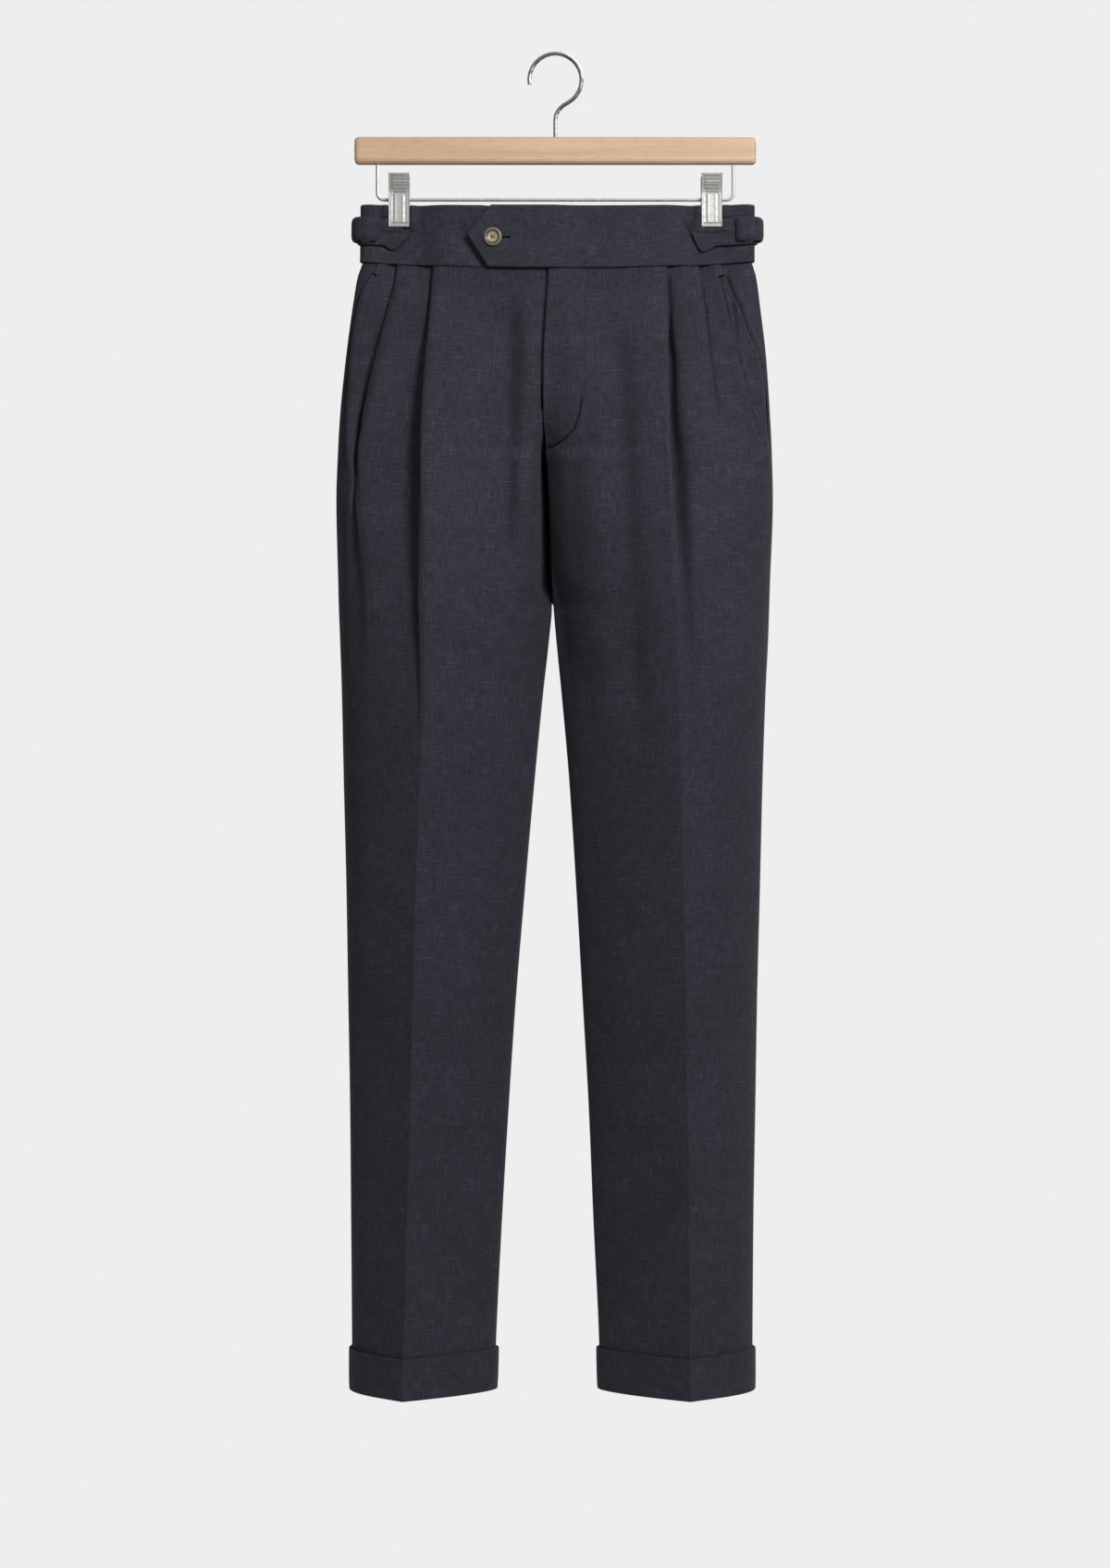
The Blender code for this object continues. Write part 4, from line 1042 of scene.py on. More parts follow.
def make_linen():
    """Plain-woven linen: fine crossed threads with short slubs, soft crinkles and a dry handle."""
    colour = (0.0350, 0.0346, 0.0500)
    tree, shader = new_material("linen", 0.86, colour=colour, Sheen_Weight=0.08,
                                Sheen_Roughness=0.5, Specular_IOR_Level=0.25)
    coords = grain_coords(tree)
    drift = noise(tree, coords, 22.0, 2.0) - 0.5
    place = coords + drift * (0.004, 0.004, 0.0)
    weft = noise(tree, place * (95.0, 1050.0, 0.0), 1.0, 1.0)
    warp = noise(tree, place * (1050.0, 80.0, 0.0) + (7.3, 2.1, 0.0), 1.0, 1.0)
    slub_across = slubs(tree, place * (55.0, 520.0, 0.0) + (3.0, 9.0, 0.0))
    slub_down = slubs(tree, place * (560.0, 48.0, 0.0) + (1.0, 4.0, 0.0))
    threads = weft * 0.5 + warp * 0.5
    wander = (noise(tree, coords, 60.0, 2.0) - 0.5) * (0.022, 0.022, 0.0)
    veins = make_node(tree, "ShaderNodeTexVoronoi", (("feature", "DISTANCE_TO_EDGE"),),
                      Vector=place + wander, Scale=62.0)
    patches = curve_of(tree, noise(tree, coords, 48.0, 1.0), 0.50, 0.66)
    lines = curve_of(tree, veins, 0.0, 0.10, 1.0, 0.0) * patches
    tone = curve_of(tree, threads, 0.34, 0.66, 0.74, 1.24) + slub_across * 0.34 + slub_down * 0.30
    cloud = curve_of(tree, noise(tree, coords, 14.0, 4.0), 0.3, 0.7, 0.93, 1.07)
    shade = make_node(tree, "ShaderNodeVectorMath", (("operation", "SCALE"),),
                      _0=colour, Scale=tone * cloud + lines * 0.26)
    connect(tree, shade, shader.inputs["Base Color"])
    height = threads * 0.35 + slub_across * 0.35 + slub_down * 0.35 + lines * 0.8
    height = height + noise(tree, coords, 130.0, 2.0) * 0.5
    bump_of(tree, shader, height, 0.45, 0.0006)
    connect(tree, curve_of(tree, threads, 0.3, 0.7, 0.92, 0.78), shader.inputs["Roughness"])


def make_beech():
    """Varnished beech: a long grain with short darker flecks."""
    tree, shader = new_material("beech", 0.42, Coat_Weight=0.15, Coat_Roughness=0.3)
    coords = object_coords(tree)
    long_grain = noise(tree, coords * (3.0, 60.0, 70.0), 1.0, 4.0, 0.55, 0.6)
    flecks = curve_of(tree, noise(tree, coords * (90.0, 900.0, 1100.0), 1.0, 1.0), 0.60, 0.72)
    wood = blend(tree, curve_of(tree, long_grain, 0.3, 0.7),
                 (0.69, 0.45, 0.275), (0.86, 0.60, 0.395))
    wood = blend(tree, flecks * 0.35, wood, (0.36, 0.22, 0.13))
    connect(tree, wood, shader.inputs["Base Color"])
    connect(tree, curve_of(tree, long_grain, 0.3, 0.7, 0.5, 0.38), shader.inputs["Roughness"])
    bump_of(tree, shader, long_grain * 0.5 - flecks * 0.5, 0.2, 0.0003)


def make_metal(name, colour, rough, metallic):
    """Metal with a slightly cloudy polish."""
    tree, shader = new_material(name, rough, metallic, colour)
    cloud = noise(tree, object_coords(tree), 260.0, 3.0)
    connect(tree, curve_of(tree, cloud, 0.3, 0.7, rough - 0.05, rough + 0.09),
            shader.inputs["Roughness"])


def make_horn():
    """Polished horn: a pale middle, a dark ring round it and a lighter rim."""
    tree, shader = new_material("horn", 0.28, Coat_Weight=0.4, Coat_Roughness=0.12)
    coords = grain_coords(tree)
    cloud = noise(tree, coords, 600.0, 3.0)
    distance = make_node(tree, "ShaderNodeVectorMath", (("operation", "LENGTH"),), output=1,
                         _0=coords)
    ring = curve_of(tree, distance, 0.0040, 0.0056)
    rim = curve_of(tree, distance, 0.0066, 0.0076)
    horn = blend(tree, ring, (0.50, 0.42, 0.30), (0.10, 0.065, 0.04))
    horn = blend(tree, rim, horn, (0.40, 0.33, 0.25))
    horn = blend(tree, curve_of(tree, cloud, 0.45, 0.7) * 0.4, horn, (0.14, 0.09, 0.06))
    connect(tree, horn, shader.inputs["Base Color"])


make_linen()
new_material("linen_thread", 0.6, colour=(0.020, 0.020, 0.028), Sheen_Weight=0.05)
# near-black thread: the tacks' and the buttonhole's own dark thread, and painted shade where it
# lies thick over the buttonhole's slit and flat along the fly's J curve
new_material("dark_thread_and_painted_shade", 0.9, colour=(0.003, 0.003, 0.004), Specular_IOR_Level=0.08)
make_beech()
make_metal("nickel", (0.56, 0.55, 0.53), 0.50, 0.55)
make_metal("buckle", (0.56, 0.55, 0.53), 0.27, 1.0)
make_metal("wire", (0.90, 0.90, 0.90), 0.58, 1.0)
make_metal("steel", (0.60, 0.60, 0.60), 0.24, 1.0)
make_horn()
new_material("pale_floor", 0.9, colour=(0.80, 0.80, 0.80))

# ---------------------------------------------------------------- cloth pieces

TUCK = 3.6                             # how far a panel's top edge turns in


def row_points(rows):
    """Points of a panel's rows; its top edge turns in under the waistband."""
    points = []
    for ring, columns in rows:
        tuck = TUCK * smooth((ring.height - PANEL_TOP) / 2.6 + 1.2)
        points.append(ring.points_at(columns[:, 0], columns[:, 1] - tuck))
    return np.array(points)


# how far the left back's seam allowance passes under the other back, down to a height
ALLOWANCE = (-2.2, -1.8, 0.0)
ALLOWANCE_END = -504.0


def make_panel(kind, side, rows):
    """A front, a back or a pocket facing through its rows."""
    points = row_points(rows)
    if (kind, side) == ("back", "left"):
        under = smooth(points[:, -1, 2] / MM - ALLOWANCE_END)
        points[:, -1] += under[:, None] * np.array(ALLOWANCE) * MM
    new_cloth(kind, side, points, WALL, grain(rows))


# columns of the waistband: x of those on the front and the back, shares of the way round the
# side, and the steps between them
WAIST_X = (6.0, 22.0, 42.0, 70.0, 95.0, 106.0, 115.0, 124.0, 134.0, 148.0, 158.0, 165.0, 170.0)
WAIST_TURN = (0.72, 0.48, 0.24, 0.0, -0.24, -0.48, -0.72)
WAIST_FRONT_STEPS = (6, 10, 14, 16, 8, 5, 6, 18, 22, 18, 6, 4)
WAIST_BACK_STEP = 4
LEAD_STEP = 3
# rows of the waistband, as shares of its height: close together in the rolled edges
WAIST_ROWS = (0.0, 0.006, 0.015, *np.linspace(0.03, 0.97, 48), 0.985, 0.994, 1.0)
# the tab comes down to the waistband beside centre front: x, share of the tab's lift
TAB_LEAD = ((-2.0, 1.0), (3.0, 0.75), (10.0, 0.35), (17.0, 0.1))


def waist_height(share):
    return WAIST_TOP + (WAIST_SEAM - WAIST_TOP) * share


def waist_places(side, ring):
    """Arc lengths of the waistband's columns, from the front round the side to centre back."""
    sign = SIGN[side]
    places = [ring.place_at(sign * x) for x in WAIST_X]
    places += [places[-1] * share for share in WAIST_TURN]
    places += [ring.place_at(sign * x, back=True) for x in reversed(WAIST_X[1:])]
    return places + [ring.back_total + SEAM_GAP / 2]


def tab_points(share, out):
    """Points along the extension tab, whose rows draw together towards its tip."""
    corner = TAB_CORNER_TOP + (TAB_CORNER_BOTTOM - TAB_CORNER_TOP) * share
    tip_share = (TAB_TIP_HEIGHT - WAIST_TOP) / (WAIST_SEAM - WAIST_TOP)
    points = []
    for x in (*np.linspace(TAB_TIP, corner, 16), *np.linspace(corner, TAB_LEAD[0][0], 64)[1:]):
        level = share
        if x < corner:
            narrow = max(0.012, (x - TAB_TIP) / (corner - TAB_TIP))
            level = tip_share + (share - tip_share) * narrow
        ring = Ring.get("left", waist_height(level))
        curl = 1.9 * smooth((-50.0 - x) / 30.0)
        points.append(ring.points_at(np.array([ring.place_at(x)]), np.array([out + curl]))[0])
    return points


def waistband_row(side, share):
    """Points of one row of a half, from the tab's tip or centre front to centre back."""
    ring = Ring.get(side, waist_height(share))
    mid = WAISTBAND_PROUD - WAISTBAND_WALL / 2
    lift = TAB_PROUD - WAISTBAND_WALL / 2
    knots = [(place, mid) for place in waist_places(side, ring)]
    steps = [*WAIST_FRONT_STEPS]
    steps += [WAIST_BACK_STEP] * (len(knots) - 1 - len(steps))
    if side == "right":
        knots[0] = (ring.total, mid)
        return ring.points_at(*curve_through(knots, steps).T)
    lead = [(ring.place_at(x), mid + (lift - mid) * part) for x, part in TAB_LEAD]
    row = curve_through(lead + knots[1:], [LEAD_STEP] * len(lead) + steps[1:])
    return np.vstack((tab_points(share, lift), ring.points_at(*row[1:].T)))


def make_waistband(side):
    """One half of the waistband; the left one has the extension tab."""
    grid = np.array([waistband_row(side, share) for share in WAIST_ROWS])
    coords = [np.stack((run_of(row), row[:, 2]), axis=-1) for row in grid]
    new_cloth("waistband", side, grid, WAISTBAND_WALL, np.array(coords))


STRAP_ROWS = 7


def strap_column(side, place_on, upper, under, out, roll=0.0):
    """Points down a strap, from its upper edge to its lower one; both edges roll in."""
    column = []
    for i in range(STRAP_ROWS + 1):
        ring = Ring.get(side, upper + (under - upper) * i / STRAP_ROWS)
        inward = roll * abs(2 * i / STRAP_ROWS - 1) ** 5
        column.append(tuple(spot(ring, place_on(ring), out - inward)))
    return column


def refine(grid, across, down):
    """More points on a smooth surface through a grid."""
    def one_way(lines, count):
        result = []
        for line in lines:
            line = np.asarray(line)
            if len(line) == 2:
                share = np.linspace(0, 1, count + 1)[:, None]
                result.append(line[0] + (line[1] - line[0]) * share)
            else:
                flat = [curve_through(np.stack((np.arange(len(line)) * 1.0, line[:, k]), axis=1),
                                      [count] * (len(line) - 1))[:, 1] for k in range(3)]
                result.append(np.stack(flat, axis=1))
        return np.array(result)
    grid = one_way(grid, across)
    return one_way(grid.transpose(1, 0, 2), down).transpose(1, 0, 2)


def make_strip(kind, side, columns, wall):
    """A strap through its columns of points."""
    grid = refine(np.array(columns), 3, 8)
    run = np.broadcast_to(run_of(grid[:, 0])[:, None], grid.shape[:2])
    new_cloth(kind, side, grid, wall, np.stack((run, grid[..., 2]), axis=-1))


def make_strap(side):
    """A side-adjuster strap, from its pointed end round the side to the back."""
    out = WAISTBAND_PROUD + STRAP_GAP + STRAP_WALL / 2
    sign = SIGN[side]
    straight = [(sign * x, 1.0, False) for x in WAIST_X[-2:]]
    straight += [(sign * WAIST_X[-1], share, False) for share in WAIST_TURN]
    straight += [(sign * x, 1.0, True) for x in WAIST_X[:-3:-1]]
    columns = [strap_column(side, lambda ring: ring.place_at(x), upper, under, out)
               for x, upper, under in STRAPS[side]]
    columns += [strap_column(side, lambda ring: share * ring.place_at(x, back),
                             STRAP_TOP, STRAP_BOTTOM, out)
                for x, share, back in straight]
    make_strip("adjuster_strap", side, columns, STRAP_WALL)


# the loop: share of the way from its front edge round the side, how far it stands out
LOOP_FORM = ((1.0, 0.0), (0.95, 1.5), (0.82, 2.7), (0.6, 3.2), (0.4, 3.4), (0.2, 3.5),
             (0.0, 3.4), (-0.2, 3.2), (-0.4, 3.0), (-0.6, 2.4), (-0.8, 1.2), (-1.0, 0.0))


def make_loop(side):
    """The strap's turn, which stands out round the side of the waist."""
    rest = WAISTBAND_PROUD + STRAP_GAP + STRAP_WALL + 0.3 + LOOP_WALL / 2
    front = Ring.get(side, (LOOP_TOP + LOOP_BOTTOM) / 2).place_at(LOOP_FRONT[side])
    columns = [strap_column(side, lambda ring: front * share, LOOP_TOP, LOOP_BOTTOM,
                            rest + lift, roll=min(1.5, lift))
               for share, lift in LOOP_FORM]
    make_strip("adjuster_loop", side, columns, LOOP_WALL)


# how far the middle of the cuff's wall stands out of the leg
CUFF_OUT = Table("height out", (CUFF_TOP, 1.65), (CUFF_TOP - 9.0, 1.8), (HEM + 11.0, 1.9),
                 (HEM, 1.65))
CUFF_ROWS = (-1189.0, -1194.0, -1200.0, -1206.0, -1212.0, -1218.0)
CUFF_STEPS = (8, 12, 2, 2, 12, 8, 8, 12, 2, 2, 12, 8)
CUFF_INSEAM = 16.0                     # from the inseam to the next stop
CUFF_SIDE = 22.0                       # from the outermost point to the next stops
CREASE_HALF = 1.5                      # from a pressed crease to the columns on either side


def cuff_section():
    """Height and distance from the cuff's middle, round its wall: rolled at top and bottom."""
    half = CUFF_WALL / 2
    turn = np.linspace(0, math.pi, 7)
    section = [(CUFF_TOP - half + half * math.sin(a), half * math.cos(a)) for a in turn]
    section += [(z, -half) for z in CUFF_ROWS]
    section += [(HEM + half - half * math.sin(a), -half * math.cos(a)) for a in turn]
    return section + [(z, half) for z in reversed(CUFF_ROWS)]


def cuff_places(ring):
    """Arc lengths once round the leg, closest at the creases."""
    stops = (ring.total, ring.total - CUFF_INSEAM,
             ring.crease + CREASE_HALF, ring.crease, ring.crease - CREASE_HALF,
             CUFF_SIDE, 0.0, -CUFF_SIDE,
             ring.back_crease + CREASE_HALF, ring.back_crease, ring.back_crease - CREASE_HALF,
             ring.back_total + CUFF_INSEAM, ring.back_total)
    return np.concatenate([start + (stop - start) * np.arange(count) / count
                           for start, stop, count in zip(stops, stops[1:], CUFF_STEPS)])


def make_cuff(side):
    """A turned-up hem: a closed wall round the leg."""
    rows = []
    for height, aside in cuff_section():
        ring = Ring.get(side, height)
        rows.append(ring.points_at(cuff_places(ring), CUFF_OUT.at("out", height) + aside))
    grid = np.array(rows)
    index = np.arange(grid[..., 0].size).reshape(grid.shape[:2])
    below, right = np.roll(index, -1, axis=0), np.roll(index, -1, axis=1)
    faces = np.stack((index, right, np.roll(right, -1, axis=0), below), axis=-1).reshape(-1, 4)
    name = "cuff_%s_cloth" % side
    mesh = mesh_of(name, grid.reshape(-1, 3).tolist(), faces.tolist())
    shape = bmesh.new()
    shape.from_mesh(mesh)
    bmesh.ops.recalc_face_normals(shape, faces=shape.faces)
    shape.to_mesh(mesh)
    shape.free()
    run = np.broadcast_to(run_of(grid[0]), grid.shape[:2])
    lay_grain(mesh, np.stack((run, grid[..., 2]), axis=-1))
    new_piece(name, mesh, "linen", "cloth", "cuff_" + side)


POCKET_HEIGHTS = [height for height in PANEL_HEIGHTS if height >= POCKET_END]
for side in SIDES:
    make_panel("front", side, [front_row(side, height) for height in PANEL_HEIGHTS])
    make_panel("back", side, [back_row(side, height) for height in PANEL_HEIGHTS])
    make_panel("pocket_facing", side, [facing_row(side, height) for height in POCKET_HEIGHTS])
for side in SIDES:
    make_waistband(side)
    make_strap(side)
    make_loop(side)
    make_cuff(side)

# ---------------------------------------------------------------- hard pieces

CLIP_TOP = -109.4
CLIP_PIVOT = 5.6
CLIP_SPREAD = 10.2                     # from the clip's middle to its plates' upper ends
JAW_WALL = 1.3
JAW_SLOT = (-127.9, -125.6)
JAW_FLUTES = (-5.7, 5.7)
JAW_RIBS = (-111.4, -114.2, -117.0, -119.8, -122.6)
JAW_GROOVE = -155.3                    # across the plate, just above the ridge of its lip
JAW_LIP = -157.6
JAW_EDGE = 1.2                         # width of the rounded edge at each side
JAW_GRIP = 2.6                         # half of the waist's depth where the clips hold it
FRONT_GRIP = JAW_GRIP + WAISTBAND_PROUD + STRAP_GAP + STRAP_WALL + 0.1
BACK_GRIP = JAW_GRIP + WAISTBAND_PROUD + 0.4


def jaw_relief(x, z):
    """How far the plate's face stands out: flutes below, ribs for the fingers above."""
    edge = smooth((CLIP_WIDTH / 2 - np.abs(x)) / 1.1)
    relief = 0.35 * (1 - edge)
    below = smooth((JAW_SLOT[0] - z) / 1.5) * smooth((z + 154.6) / 0.8)
    for flute in JAW_FLUTES:
        relief = relief - 0.36 * below * ridge(x - flute, 0.8)
    relief = relief + 0.16 * below * ridge(np.abs(x) - 3.4, 0.9)
    relief = relief - 0.6 * ridge(z - JAW_GROOVE, 0.55) * smooth((8.2 - np.abs(x)) / 0.5)
    relief = relief + 0.45 * ridge(z - JAW_LIP, 0.8)
    inside = smooth((6.6 - np.abs(x)) / 0.7)
    for rib in JAW_RIBS:
        relief = relief + 1.1 * inside * ridge(z - rib, 0.62)
    slot = smooth((z - JAW_SLOT[0]) / 0.5) * smooth((JAW_SLOT[1] - z) / 0.5)
    return relief - 0.9 * slot * smooth((6.2 - np.abs(x)) / 0.6)


def make_jaw(side, face, grip):
    """A pressed plate: the finger part leans out, the grip lies on the waistband."""
    sign = -1 if face == "front" else 1
    mid = JAW_WALL / 2
    path = [(CLIP_SPREAD + mid, CLIP_TOP), (CLIP_SPREAD - 1.9 + mid, -116.5),
            (CLIP_PIVOT + 0.4 + mid, -124.5), (CLIP_PIVOT + mid, -128.5),
            (CLIP_PIVOT + 0.3 * (grip - CLIP_PIVOT) + mid, -136.0), (grip + mid, -150.0),
            (grip + mid, CLIP_BOTTOM)]
    line = curve_through(path, (22, 26, 12, 12, 22, 34))
    half = CLIP_WIDTH / 2
    edge = JAW_EDGE * np.linspace(0, 1, 6)[:-1]
    across = np.concatenate((-half + edge, np.linspace(JAW_EDGE - half, half - JAW_EDGE, 55),
                             half - edge[::-1]))
    x = np.broadcast_to(across, (len(line), len(across)))
    out = np.broadcast_to(line[:, :1], x.shape)
    z = np.broadcast_to(line[:, 1:], x.shape)
    out = out + jaw_relief(x, z) * (1.0 if face == "front" else 0.8)
    points = np.stack((SIGN[side] * CLIP_X + x, sign * out, z), axis=-1) * MM
    coords = np.stack((x, z), axis=-1) * MM
    name = "clip_%s_%s_jaw" % (side, face)
    mesh = grid_mesh(name, points, JAW_WALL, coords, flip=face == "back", soft_angle=40.0)
    new_piece(name, mesh, "nickel", "nickel", "clip_%s_%s" % (side, face))


BUTTON_SPOT = (-57.1, -165.2)
# radius and height, from the dished middle over the rim and back under it
BUTTON_PROFILE = (
    (0.0, 1.5), (2.6, 1.5), (3.6, 1.62), (4.3, 1.95), (4.9, 2.5), (5.6, 2.9), (6.5, 3.08),
    (7.4, 3.0), (7.95, 2.6), (8.2, 1.9), (8.2, 1.4), (7.7, 0.8), (6.0, 0.25), (3.0, 0.0),
    (0.0, 0.0))
BUTTON_AROUND = 72
BUTTON_HOLE_AT = 1.5
BUTTON_HOLE_RADIUS = 0.8
DISH_RADIUS = 4.0
FACE_ABOVE = 1.2                       # the button's upper face lies above this height


def button_frame():
    """The button's place and turn, flat on the tab."""
    x, height = BUTTON_SPOT
    ring = Ring.get("left", height)
    place = ring.place_at(x)
    at = spot(ring, place, TAB_PROUD + 0.6)
    ahead = spot(ring, place + 2.0, TAB_PROUD) - spot(ring, place - 2.0, TAB_PROUD)
    turn = math.atan2(ahead.y, ahead.x)
    return Matrix.Translation(at) @ Matrix.Rotation(turn + math.pi, 4, "Z") @ Matrix.Rotation(
        math.pi / 2, 4, "X")


def hole_sink(x, y):
    """How far the four holes sink into the button at a point."""
    sink = 0.0
    for k in range(4):
        angle = math.pi / 4 + k * math.pi / 2
        away = math.hypot(x - BUTTON_HOLE_AT * math.cos(angle),
                          y - BUTTON_HOLE_AT * math.sin(angle))
        sink += 1.1 * float(smooth((1.15 * BUTTON_HOLE_RADIUS - away) / 0.35))
    return sink


def make_button():
    """A turned button whose dished middle has four holes."""
    shape = bmesh.new()
    layer = shape.loops.layers.uv.new("grain")
    profile = curve_through(BUTTON_PROFILE, (3,) * (len(BUTTON_PROFILE) - 1))
    rows = []
    for radius, height in profile:
        row = []
        for i in range(BUTTON_AROUND):
            angle = math.tau * i / BUTTON_AROUND
            x, y = radius * math.cos(angle), radius * math.sin(angle)
            dished = height > FACE_ABOVE and radius < DISH_RADIUS
            z = height - hole_sink(x, y) if dished else height
            row.append(shape.verts.new((x * MM, y * MM, z * MM)))
        rows.append(row)
    for row, below in zip(rows, rows[1:]):
        for i in range(BUTTON_AROUND):
            j = (i + 1) % BUTTON_AROUND
            shape.faces.new((row[i], below[i], below[j], row[j]))
    bmesh.ops.remove_doubles(shape, verts=shape.verts, dist=0.000005)
    bmesh.ops.recalc_face_normals(shape, faces=shape.faces)
    for face in shape.faces:
        for loop in face.loops:
            loop[layer].uv = loop.vert.co.xy
    mesh = bpy.data.meshes.new("button_horn")
    shape.to_mesh(mesh)
    shape.free()
    mesh.shade_smooth()
    mesh.transform(button_frame())
    new_piece("button_horn", mesh, "horn", "horn", "waist_button")


def make_button_thread():
    """Three strands over each of the two bars between the holes."""
    strands = []
    reach = BUTTON_HOLE_AT * math.cos(math.pi / 4)
    for aside in (-0.28, 0.0, 0.28):
        for side in (-1, 1):
            x = side * reach + aside * 0.8
            bar = [(x, t * reach, 1.55 + 0.42 * (1 - t * t)) for t in np.linspace(-1, 1, 9)]
            points = [(x, bar[0][1], 0.7), *bar, (x, bar[-1][1], 0.7)]
            strands.append([button_frame() @ (Vector(point) * MM) for point in points])
    make_threads("button_thread", strands, THREAD_RADIUS)


THREAD_RADIUS = 0.17
THREAD_SIDES = 6
THREAD_END = 0.45                      # share of a thread's radius at its two ends


def make_threads(name, strands, radius, material="linen_thread"):
    """Round threads along rows of points, closed at both ends."""
    vertices, faces = [], []
    for strand in strands:
        base = len(vertices)
        count = len(strand)
        for i, point in enumerate(strand):
            ahead = (strand[min(i + 1, count - 1)] - strand[max(i - 1, 0)]).normalized()
            aside = ahead.orthogonal().normalized() if i == 0 else (
                aside - ahead * aside.dot(ahead)).normalized()
            up = ahead.cross(aside)
            size = radius * MM * (THREAD_END if i in (0, count - 1) else 1.0)
            for k in range(THREAD_SIDES):
                angle = math.tau * k / THREAD_SIDES
                vertices.append(point + (aside * math.cos(angle) + up * math.sin(angle)) * size)
        for i in range(count - 1):
            for k in range(THREAD_SIDES):
                a = base + i * THREAD_SIDES + k
                b = base + i * THREAD_SIDES + (k + 1) % THREAD_SIDES
                faces.append((a, b, b + THREAD_SIDES, a + THREAD_SIDES))
        last = base + (count - 1) * THREAD_SIDES
        faces.append(tuple(range(base + THREAD_SIDES - 1, base - 1, -1)))
        faces.append(tuple(range(last, last + THREAD_SIDES)))
    mesh = mesh_of(name, [tuple(vertex) for vertex in vertices], faces)
    new_piece(name, mesh, material, "cloth")


# a stitch: share of its length, share of its rise over the cloth
STITCH_FORM = ((0.0, -0.3), (0.12, 0.35), (0.5, 1.0), (0.88, 0.35), (1.0, -0.3))
SEW_FROM = -0.3                        # y, in metres, from where a stitch looks for the cloth


def sew(name, piece, line, stitch, gap, radius=THREAD_RADIUS, rise=0.12, thread="linen_thread"):
    """A row of stitches laid on a piece along a line of (x, z), with their length, the gap from
    one to the next, the thread's radius and its rise over the cloth."""
    mesh = made[piece].data
    corners = [vertex.co for vertex in mesh.vertices]
    surface = BVHTree.FromPolygons(corners, [tuple(face.vertices) for face in mesh.polygons])
    line = np.asarray(line, dtype=float)
    run = run_of(line)
    strands = []
    start = 0.3
    while start + stitch < run[-1]:
        strand = []
        for share, lift in STITCH_FORM:
            x, z = (np.interp(start + stitch * share, run, line[:, k]) * MM for k in (0, 1))
            ahead = Vector((0.0, 1.0, 0.0))
            place, normal = surface.ray_cast(Vector((x, SEW_FROM, z)), ahead)[:2]
            if place is None:
                break
            strand.append(place + normal * (rise * lift * MM))
        if len(strand) == len(STITCH_FORM):
            strands.append(strand)
        start += stitch + gap
    make_threads(name, strands, radius, thread)


TACK_WIDTH = 1.3
TACK_THREADS = 11


def tack(name, piece, x, z, length, turn):
    """A bar tack: threads laid close together across a short bar."""
    along = np.array((math.cos(math.radians(turn)), math.sin(math.radians(turn))))
    aside = np.array((-along[1], along[0])) * TACK_WIDTH / 2
    points = []
    for i in range(TACK_THREADS):
        middle = np.array((x, z)) + along * length * (i / (TACK_THREADS - 1) - 0.5)
        points += [middle - aside, middle + aside] if i % 2 else [middle + aside, middle - aside]
    sew(name, piece, points, 1.1, 0.0, 0.55, 0.42, "dark_thread_and_painted_shade")


# the buttonhole's stitches zigzag: x and z of the first, step along, half their reach; thick and
# near-black, they cover the slit and paint its shade
BUTTONHOLE = (-48.8, -169.8, 0.55, 0.65)


def make_sewing():
    """The rows of stitches on the fly, pockets and strap, the tacks and the buttonhole; the J
    curve's and the buttonhole's near-black threads lie thick enough to paint the shade of the
    groove and the slit as well.
    """
    sew("fly_stitches", "front_left_cloth", FLY_STITCH[:4], 2.2, 0.9, 0.2)
    # the J curve's stitches lie thick, flat and near-black with almost no gaps, so they also paint
    # the shadow of the J's sewn groove
    sew("fly_curve_stitches_and_painted_shade", "front_left_cloth", FLY_STITCH[3:], 2.6, 0.1, 0.5, 0.0,
        "dark_thread_and_painted_shade")
    sew("pocket_stitches_left", "front_left_cloth", POCKET_FOLD, 2.2, 2.4)
    mouth = [(POCKET.at("right", z) + 6.0, z) for z in np.linspace(-203.0, -352.0, 24)]
    sew("pocket_stitches_right", "front_right_cloth", mouth, 2.2, 2.4)
    tack("pocket_tack_right", "front_right_cloth", -166.3, -202.2, 5.0, -35.0)
    tack("pocket_tack_left", "front_left_cloth", 153.0, -203.6, 8.0, 22.0)
    strap_end = ((145.4, -161.0), (145.0, -173.2))
    sew("strap_stitches", "adjuster_strap_left_cloth", strap_end, 2.0, 0.5)
    x, z, step, reach = BUTTONHOLE
    hole = [(x + step * i, z + (reach if i % 2 else -reach)) for i in range(14)]
    # thick near-black stitches over the slit: the buttonhole's dark thread and painted shade of its
    # slit
    sew("buttonhole_stitches_and_painted_shade", "waistband_left_cloth", hole, 1.5, 0.0, 0.9, 0.5, "dark_thread_and_painted_shade")


for side in SIDES:
    make_jaw(side, "front", FRONT_GRIP)
    make_jaw(side, "back", BACK_GRIP)
make_button()
make_button_thread()
make_sewing()

# pieces that keep the solids' shape, with a finish of their own
CARRIED = {
    "beech": ("hanger_bar",),
    "steel": ("hanger_hook", "clip_left_spring", "clip_right_spring"),
    "wire": ("hanger_wire",),
    "buckle": ("adjuster_buckle_left", "adjuster_buckle_right"),
}
for finish, names in CARRIED.items():
    for name in names:
        nodes[name].data.materials.clear()
        nodes[name].data.materials.append(materials[finish])

# ---------------------------------------------------------------- light and floor

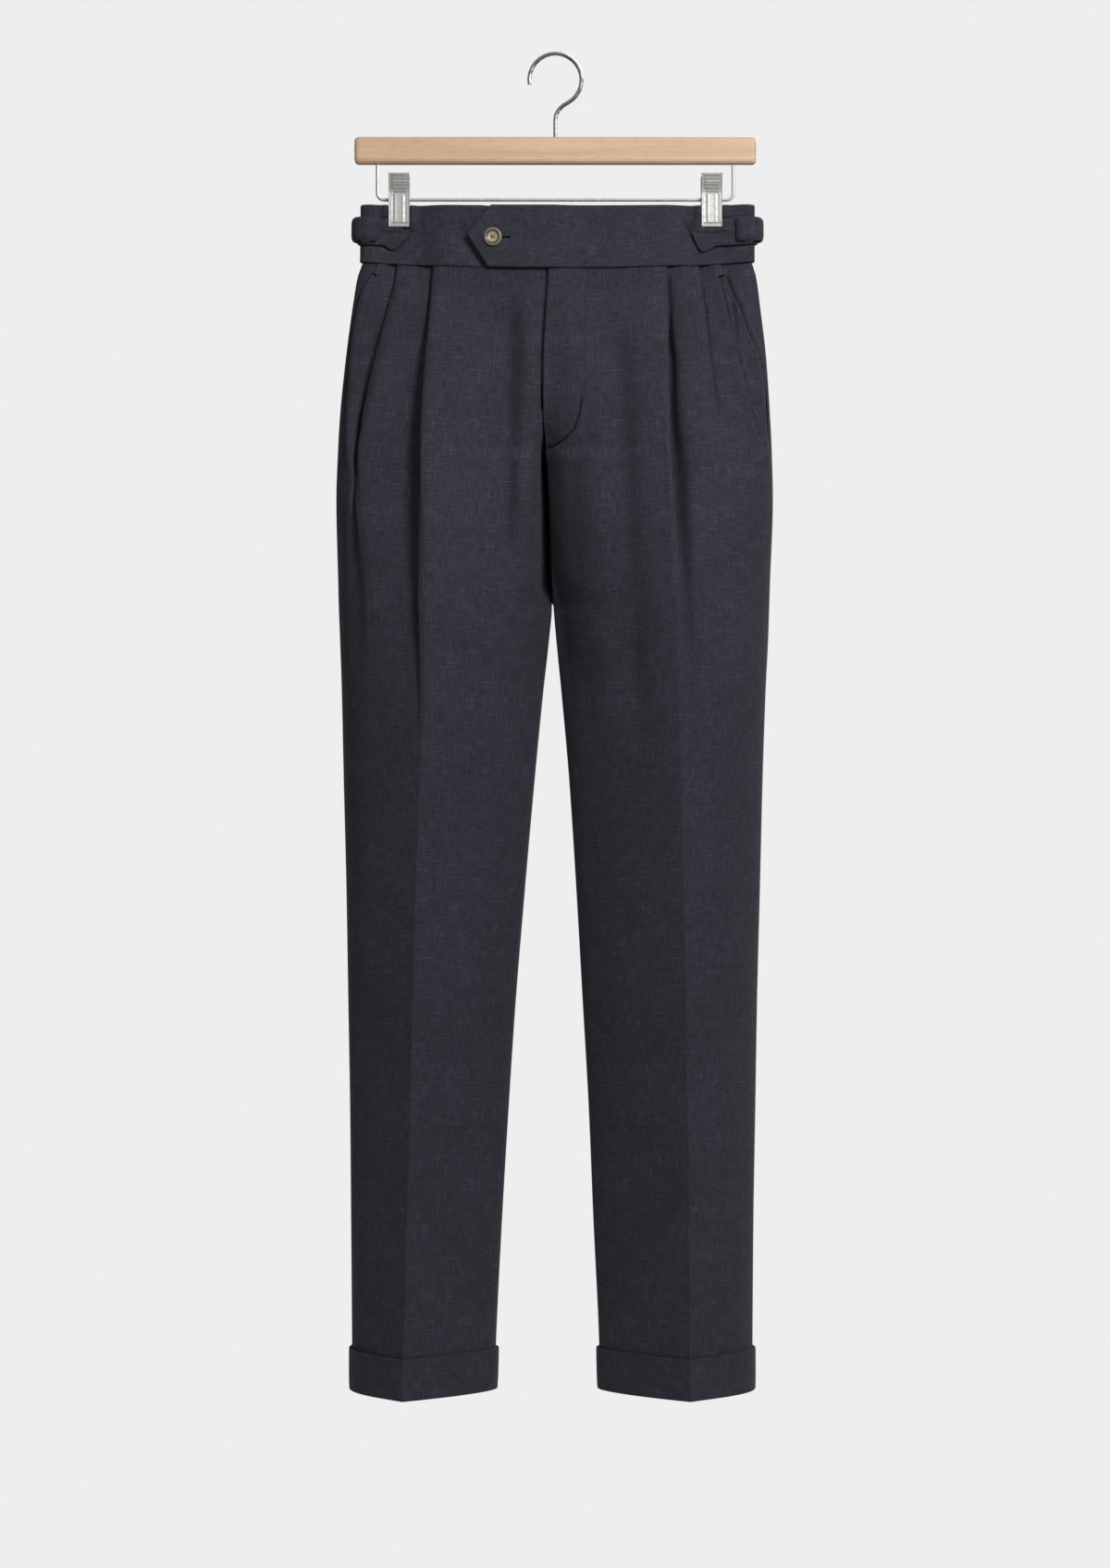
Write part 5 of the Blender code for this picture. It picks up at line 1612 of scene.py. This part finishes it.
FLOOR = -1.82
FLOOR_RADIUS = 1.6
BACKGROUND = 0.855                     # strength of the plain background that the camera sees
WHITE = (1.0, 1.0, 1.0, 1.0)
LIGHTS = {                             # place, target, size, power
    "key": ((0.66, -1.35, 0.34), (0.0, 0.0, -0.40), 0.55, 15.9),
    "fill": ((-1.2, -2.6, 0.3), (0.0, 0.0, -0.6), 1.6, 4.0),
    "rim": ((0.9, 2.2, 0.9), (0.0, 0.0, -0.6), 1.5, 30.0),
}


def area_light(name, place, target, size, power):
    data = bpy.data.lights.new(name, "AREA")
    data.shape = "DISK"
    data.size = size
    data.energy = power
    light = bpy.data.objects.new(name, data)
    light.location = place
    light.rotation_euler = (Vector(target) - Vector(place)).to_track_quat("-Z", "Y").to_euler()
    light.visible_camera = False
    SCENE.collection.objects.link(light)


def make_floor():
    shape = bmesh.new()
    bmesh.ops.create_circle(shape, cap_ends=True, segments=96, radius=FLOOR_RADIUS)
    mesh = bpy.data.meshes.new("studio_floor")
    shape.to_mesh(mesh)
    shape.free()
    mesh.materials.append(materials["pale_floor"])
    floor = bpy.data.objects.new("studio_floor", mesh)
    floor.location = (0.0, 0.0, FLOOR)
    SCENE.collection.objects.link(floor)


def make_world():
    """A plain background for the camera; the cloth is lit more from above and from +X."""
    world = bpy.data.worlds.new("studio")
    world.use_nodes = True
    tree = world.node_tree
    tree.nodes.clear()
    seen = make_node(tree, "ShaderNodeLightPath")
    towards = make_node(tree, "ShaderNodeTexCoord")
    parts = tree.nodes.new("ShaderNodeSeparateXYZ")
    connect(tree, towards, parts.inputs[0])
    up = Value(tree, parts.outputs["Z"])
    aside = Value(tree, parts.outputs["X"])
    soft = curve_of(tree, up, -0.5, 0.9, 0.06, 0.42) * curve_of(tree, aside, -0.9, 0.9, 0.6, 1.3)
    lit = make_node(tree, "ShaderNodeBackground", (), Color=WHITE, Strength=soft)
    plain = make_node(tree, "ShaderNodeBackground", (), Color=WHITE, Strength=BACKGROUND)
    mix = make_node(tree, "ShaderNodeMixShader", (), _0=seen, _1=lit, _2=plain)
    out = tree.nodes.new("ShaderNodeOutputWorld")
    connect(tree, mix, out.inputs["Surface"])
    SCENE.world = world


make_floor()
make_world()
for name, (place, target, size, power) in LIGHTS.items():
    area_light(name, place, target, size, power)
SCENE.view_settings.view_transform = "Standard"
SCENE.view_settings.look = "None"

# ---------------------------------------------------------------- end

bpy.context.view_layer.update()
